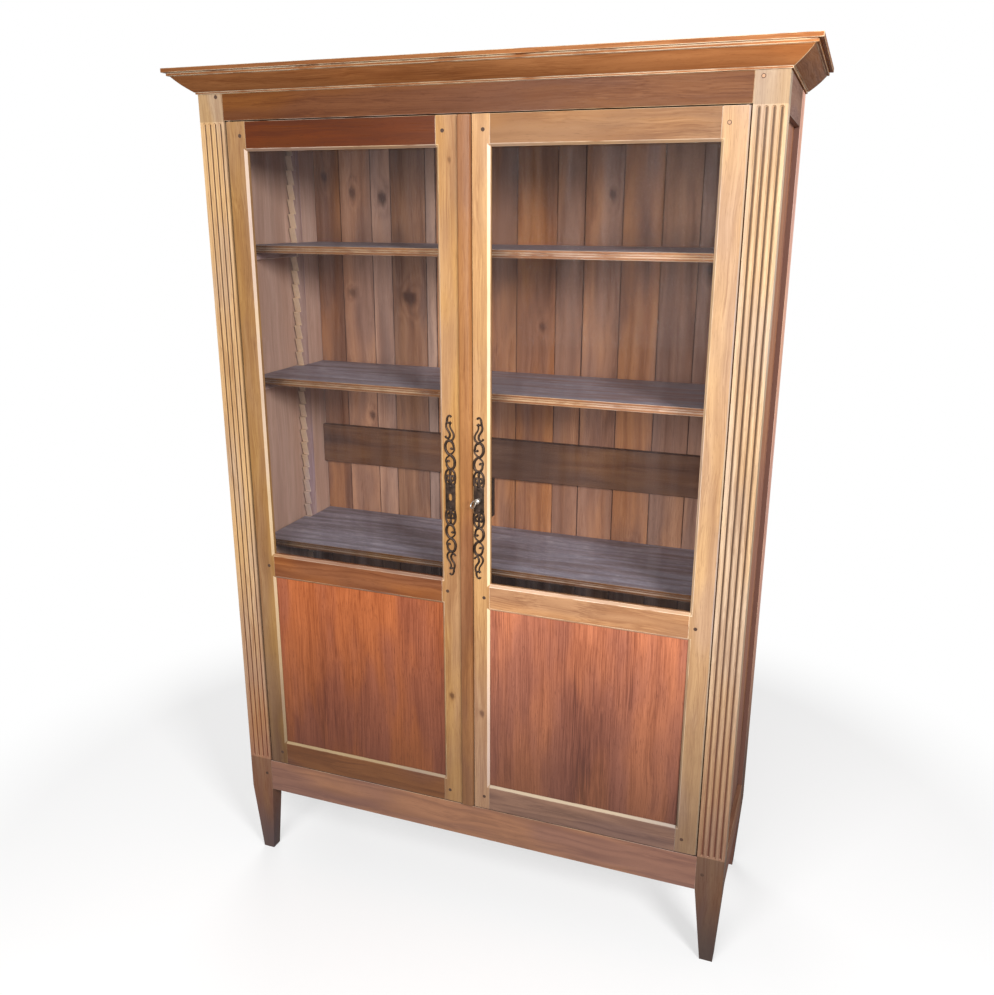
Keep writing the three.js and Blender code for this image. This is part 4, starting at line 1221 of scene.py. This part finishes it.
class BOOKCASE_OT_doors(bpy.types.Operator):
    """Finish the door frames, their panels and the meeting strip"""

    bl_idname = "bookcase.doors"
    bl_label = "Doors"

    def execute(self, context):
        for name, side in SIDES:
            finish_copy("stile_hinge_" + name, "stile", "Z")
            finish_copy("stile_meeting_" + name, "stile", "Z")
            top, middle = ("red_rail", "door_rail") if side < 0 else ("honey_rail", "honey_rail")
            finish_copy("rail_top_" + name, top, "X")
            finish_copy("rail_middle_" + name, middle, "X")
            finish_copy("rail_bottom_" + name, "door_rail", "X")
            finish_copy("panel_" + name, "panel", "Z")
        finish_copy("strip_meeting", "strip", "Z", STRIP_ROUND, segments=4, worn=0.15)
        return {"FINISHED"}


class BOOKCASE_OT_glass(bpy.types.Operator):
    """Give the two panes their old glass"""

    bl_idname = "bookcase.glass"
    bl_label = "Glass"

    def execute(self, context):
        glass = old_glass()
        for name, _ in SIDES:
            repainted("glass_" + name, glass)
        return {"FINISHED"}


class BOOKCASE_OT_pegs(bpy.types.Operator):
    """Drive the drawbore pegs into the frame joints"""

    bl_idname = "bookcase.pegs"
    bl_label = "Drawbore pegs"

    def execute(self, context):
        places = {"left_door": [], "right_door": [], "carcase": []}
        for name, side in SIDES:
            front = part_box("stile_hinge_" + name)[0].y
            ends = (
                edge_x("stile_hinge_" + name, -side) + side * PEG_TO_DOOR_EDGE,
                edge_x("stile_meeting_" + name, side) - side * PEG_TO_DOOR_EDGE,
            )
            for level in ("top", "middle", "bottom"):
                low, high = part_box(f"rail_{level}_{name}")
                for x in ends:
                    places[name + "_door"].append((x, front, (low.z + high.z) / 2))
            post_low, post_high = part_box("post_front_" + name)
            x = edge_x("post_front_" + name, -side) + side * PEG_TO_POST_EDGE
            low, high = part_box("rail_front_bottom")
            for z in (post_high.z - PEG_TO_POST_TOP, (low.z + high.z) / 2):
                places["carcase"].append((x, post_low.y, z))
        draw = random.Random(5)
        material = peg_wood()
        for body, spots in places.items():
            pegs = []
            for x, y, z in spots:
                peg = started(
                    bpy.ops.mesh.primitive_cylinder_add,
                    vertices=PEG_SIDES,
                    radius=PEG_RADIUS,
                    depth=PEG_LENGTH,
                    location=(
                        x + (draw.random() - 0.5) * PEG_WANDER,
                        y - PEG_PROUD + PEG_LENGTH / 2,
                        z + (draw.random() - 0.5) * 2 * PEG_WANDER,
                    ),
                    rotation=(math.pi / 2, draw.random() * math.pi, 0),
                )
                bpy.ops.object.mode_set(mode="EDIT")
                pick(peg, "FACE", lambda face: face.normal.y < -0.99)
                bpy.ops.mesh.bevel(offset=PEG_EDGE, segments=2, affect="EDGES")
                pick(peg, "FACE", lambda face: face.normal.y < -0.99)
                bpy.ops.mesh.inset(thickness=PEG_RIM, depth=0)
                bpy.ops.object.mode_set(mode="OBJECT")
                rubbed = x > RUBBED_PEG_CORNER[0] and z > RUBBED_PEG_CORNER[1]
                head = [rubbed and face.normal.y < -0.99 and face.select for face in peg.data.polygons]
                marked(peg, "pale", [float(pale) for pale in head])
                pegs.append(peg)
            group = joined("pegs_" + body, pegs)
            bpy.ops.object.shade_smooth_by_angle(angle=SMOOTH_ANGLE)
            group.data.materials.append(material)
            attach(group, body)
        return {"FINISHED"}


def scroll_bars(way):
    """All the bars of an escutcheon; its lower half is its upper half turned upside down."""
    half = [FLEUR_SPEAR] + list(SMALL_SCROLLS)
    for bar in FLEUR_SIDE:
        half += [bar, [(-x, z, radius) for x, z, radius in bar]]
    middle = LARGE_SCROLL_MIDDLE
    start = [(x, middle + z, radius) for x, z, radius in LARGE_SCROLL]
    finish = [(-x, middle - z, radius) for x, z, radius in reversed(LARGE_SCROLL)]
    half.append(start + finish)
    for turn in (-1, 1):
        half.append([(turn * x, middle + turn * z, radius) for x, z, radius in LARGE_TENDRIL])
    return [
        [(way * turn * x, turn * z, radius) for x, z, radius in bar]
        for turn in (-1, 1)
        for bar in half
    ]


def forged_escutcheon(name, side):
    """An escutcheon: a chamfered plate with a raised field and rivets, and scrolls up and down."""
    node = "escutcheon_" + name
    low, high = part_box(node)
    middle_x, middle_z = (low.x + high.x) / 2, (low.z + high.z) / 2
    bpy.ops.object.select_all(action="DESELECT")
    bpy.ops.curve.primitive_bezier_curve_add()
    piece = bpy.context.object
    curve = piece.data
    curve.splines.clear()
    curve.dimensions = "3D"
    curve.bevel_depth = MM
    curve.bevel_resolution = 3
    curve.use_fill_caps = True
    for bar in scroll_bars(-side):
        spline = curve.splines.new("BEZIER")
        spline.resolution_u = 5
        spline.bezier_points.add(len(bar) - 1)
        for point, (x, z, radius) in zip(spline.bezier_points, bar):
            point.co = (middle_x + x * MM, high.y - SCROLL_SINK, middle_z + z * MM)
            point.handle_left_type = point.handle_right_type = "AUTO"
            point.radius = BAR_WEIGHT * radius
    bpy.ops.object.convert(target="MESH")

    plate = named_block(
        "plate",
        (middle_x - PLATE_WIDTH / 2, low.y, middle_z - PLATE_HEIGHT / 2),
        (middle_x + PLATE_WIDTH / 2, high.y + PLATE_SPARE, middle_z + PLATE_HEIGHT / 2),
    )
    bpy.ops.object.mode_set(mode="EDIT")
    pick(plate, "EDGE", lambda edge: abs(edge.verts[0].co.y - edge.verts[1].co.y) > MM)
    bpy.ops.mesh.bevel(offset=PLATE_CORNER, segments=1, affect="EDGES")
    pick(plate, "FACE", lambda face: face.normal.y < -0.9)
    bpy.ops.mesh.inset(thickness=PLATE_RIM, depth=0)
    bpy.ops.mesh.inset(thickness=PLATE_SLOPE, depth=PLATE_FIELD_RISE)
    bpy.ops.object.mode_set(mode="OBJECT")
    parts = [piece, plate]
    for rise in (-RIVET_RISE, RIVET_RISE):
        bpy.ops.object.select_all(action="DESELECT")
        bpy.ops.mesh.primitive_uv_sphere_add(
            segments=16,
            ring_count=8,
            radius=RIVET_RADIUS,
            location=(middle_x, low.y - RIVET_SINK, middle_z + rise),
            scale=(1, RIVET_FLATNESS, 1),
        )
        parts.append(bpy.context.object)
    joined("forged_" + node, parts)
    bpy.ops.object.transform_apply(location=True, rotation=True, scale=True)
    modified(piece, "Forged as one", "REMESH", mode="VOXEL", voxel_size=FORGED_VOXEL)
    modified(piece, "Fewer faces", "DECIMATE", ratio=FORGED_FACES_KEPT)
    bpy.ops.object.mode_set(mode="EDIT")
    bpy.ops.mesh.select_all(action="SELECT")
    bpy.ops.mesh.bisect(plane_co=(0, high.y, 0), plane_no=(0, 1, 0), use_fill=True, clear_outer=True)
    bpy.ops.object.mode_set(mode="OBJECT")

    # The keyhole, or the wider blind one on the left
    radius, drop, centre, neck = KEYHOLE_RADIUS, KEYHOLE_DROP, middle_z, KEYHOLE_NECK
    if side < 0:
        radius, drop, centre, neck = BLIND_RADIUS, BLIND_DROP, middle_z + BLIND_DROP / 2, BLIND_NECK
    cutter = started(
        bpy.ops.mesh.primitive_cylinder_add,
        vertices=20,
        radius=radius,
        depth=KEYHOLE_CUT,
        location=(middle_x, low.y, centre),
        rotation=(math.pi / 2, 0, 0),
    )
    bpy.ops.object.mode_set(mode="EDIT")
    pick(cutter, "VERT", lambda vertex: vertex.co.z < centre - neck * radius)
    bpy.ops.transform.translate(value=(0, 0, -drop))
    bpy.ops.object.mode_set(mode="OBJECT")
    carved(piece, "Keyhole", cutter)
    bpy.ops.object.shade_smooth_by_angle(angle=IRON_SMOOTH_ANGLE)
    return piece


def filed_key():
    """The key: an oval bow of round wire, a shank with turned collars, and its bit."""
    low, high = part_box("key")
    x = (low.x + high.x) / 2
    plate_low, plate_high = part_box("escutcheon_right")
    z = (plate_low.z + plate_high.z) / 2
    bow_middle = (x, low.y + KEY_BOW_LENGTH / 2, z)
    wire = KEY_BOW_WIRE / 2
    bow = started(
        bpy.ops.mesh.primitive_torus_add,
        major_segments=40,
        minor_segments=12,
        major_radius=KEY_BOW_HEIGHT / 2 - wire,
        minor_radius=wire,
        location=bow_middle,
        rotation=(0, math.pi / 2, 0),
    )
    bpy.ops.object.mode_set(mode="EDIT")
    bpy.ops.mesh.select_all(action="SELECT")
    stretch = (KEY_BOW_LENGTH / 2 - wire) / (KEY_BOW_HEIGHT / 2 - wire)
    bpy.ops.transform.resize(value=(1, stretch, 1), center_override=bow_middle)
    bpy.ops.object.mode_set(mode="OBJECT")
    shank_front = low.y + KEY_BOW_LENGTH - wire
    shank = started(
        bpy.ops.mesh.primitive_cylinder_add,
        vertices=20,
        radius=KEY_SHANK_RADIUS,
        depth=high.y - shank_front,
        location=(x, (high.y + shank_front) / 2, z),
        rotation=(math.pi / 2, 0, 0),
    )
    bpy.ops.object.mode_set(mode="EDIT")
    for place, swell in KEY_COLLARS:
        bpy.ops.mesh.select_all(action="SELECT")
        y = shank_front + place * MM
        bpy.ops.mesh.bisect(plane_co=(0, y, 0), plane_no=(0, 1, 0))
        pick(shank, "VERT", lambda vertex, y=y: abs(vertex.co.y - y) < WELD)
        bpy.ops.transform.resize(value=(swell, 1, swell), center_override=(x, y, z))
    bpy.ops.object.mode_set(mode="OBJECT")
    bit = named_block(
        "bit",
        (x - KEY_BIT_THICKNESS / 2, high.y - KEY_BIT_FROM_TIP - KEY_BIT_WIDTH, low.z),
        (x + KEY_BIT_THICKNESS / 2, high.y - KEY_BIT_FROM_TIP, z),
    )
    modified(bit, "Filed edges", "BEVEL", width=KEY_EDGE, segments=2)
    joined("filed_key", [bow, shank, bit])
    bpy.ops.object.shade_smooth_by_angle(angle=STEEL_SMOOTH_ANGLE)
    return bow


class BOOKCASE_OT_ironwork(bpy.types.Operator):
    """Forge the escutcheons and the key, and finish the lock and the pivots"""

    bl_idname = "bookcase.ironwork"
    bl_label = "Ironwork"

    def execute(self, context):
        iron = wrought_iron()
        steel = worn_steel()
        for name, side in SIDES:
            settled(forged_escutcheon(name, side), iron, "escutcheon_" + name)
            repainted("pivot_bottom_" + name, iron)
            repainted("pivot_top_" + name, iron)
        settled(filed_key(), steel, "key")
        repainted("lock_case", iron)
        repainted("lock_bolt", steel)
        return {"FINISHED"}


OPERATORS = (
    BOOKCASE_OT_stage,
    BOOKCASE_OT_front_posts,
    BOOKCASE_OT_case_frame,
    BOOKCASE_OT_cornice,
    BOOKCASE_OT_back_boards,
    BOOKCASE_OT_shelves,
    BOOKCASE_OT_doors,
    BOOKCASE_OT_glass,
    BOOKCASE_OT_pegs,
    BOOKCASE_OT_ironwork,
)


class BOOKCASE_PT_pieces(bpy.types.Panel):
    """Lists the bookcase's pieces, colours and sizes"""

    bl_idname = "BOOKCASE_PT_pieces"
    bl_label = "Bookcase"
    bl_space_type = "VIEW_3D"
    bl_region_type = "UI"
    bl_category = "Bookcase"

    def draw(self, context):
        for group in (context.scene.bookcase_colours, context.scene.bookcase_sizes):
            column = self.layout.column()
            for key in group.__annotations__:
                column.prop(group, key)
        for operator in OPERATORS:
            self.layout.operator(operator.bl_idname)


CLASSES = (BookcaseColours, BookcaseSizes) + OPERATORS + (BOOKCASE_PT_pieces,)


def register():
    """Registers the classes and hangs the properties on the scene."""
    for each in CLASSES:
        bpy.utils.register_class(each)
    bpy.types.Scene.bookcase_colours = bpy.props.PointerProperty(type=BookcaseColours)
    bpy.types.Scene.bookcase_sizes = bpy.props.PointerProperty(type=BookcaseSizes)


def unregister():
    """Takes the properties and classes away again."""
    del bpy.types.Scene.bookcase_sizes
    del bpy.types.Scene.bookcase_colours
    for each in reversed(CLASSES):
        bpy.utils.unregister_class(each)


def main():
    """Makes every piece in turn."""
    register()
    for operator in OPERATORS:
        group, name = operator.bl_idname.split(".")
        getattr(getattr(bpy.ops, group), name)()
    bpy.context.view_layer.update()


if __name__ == "__main__":
    main()
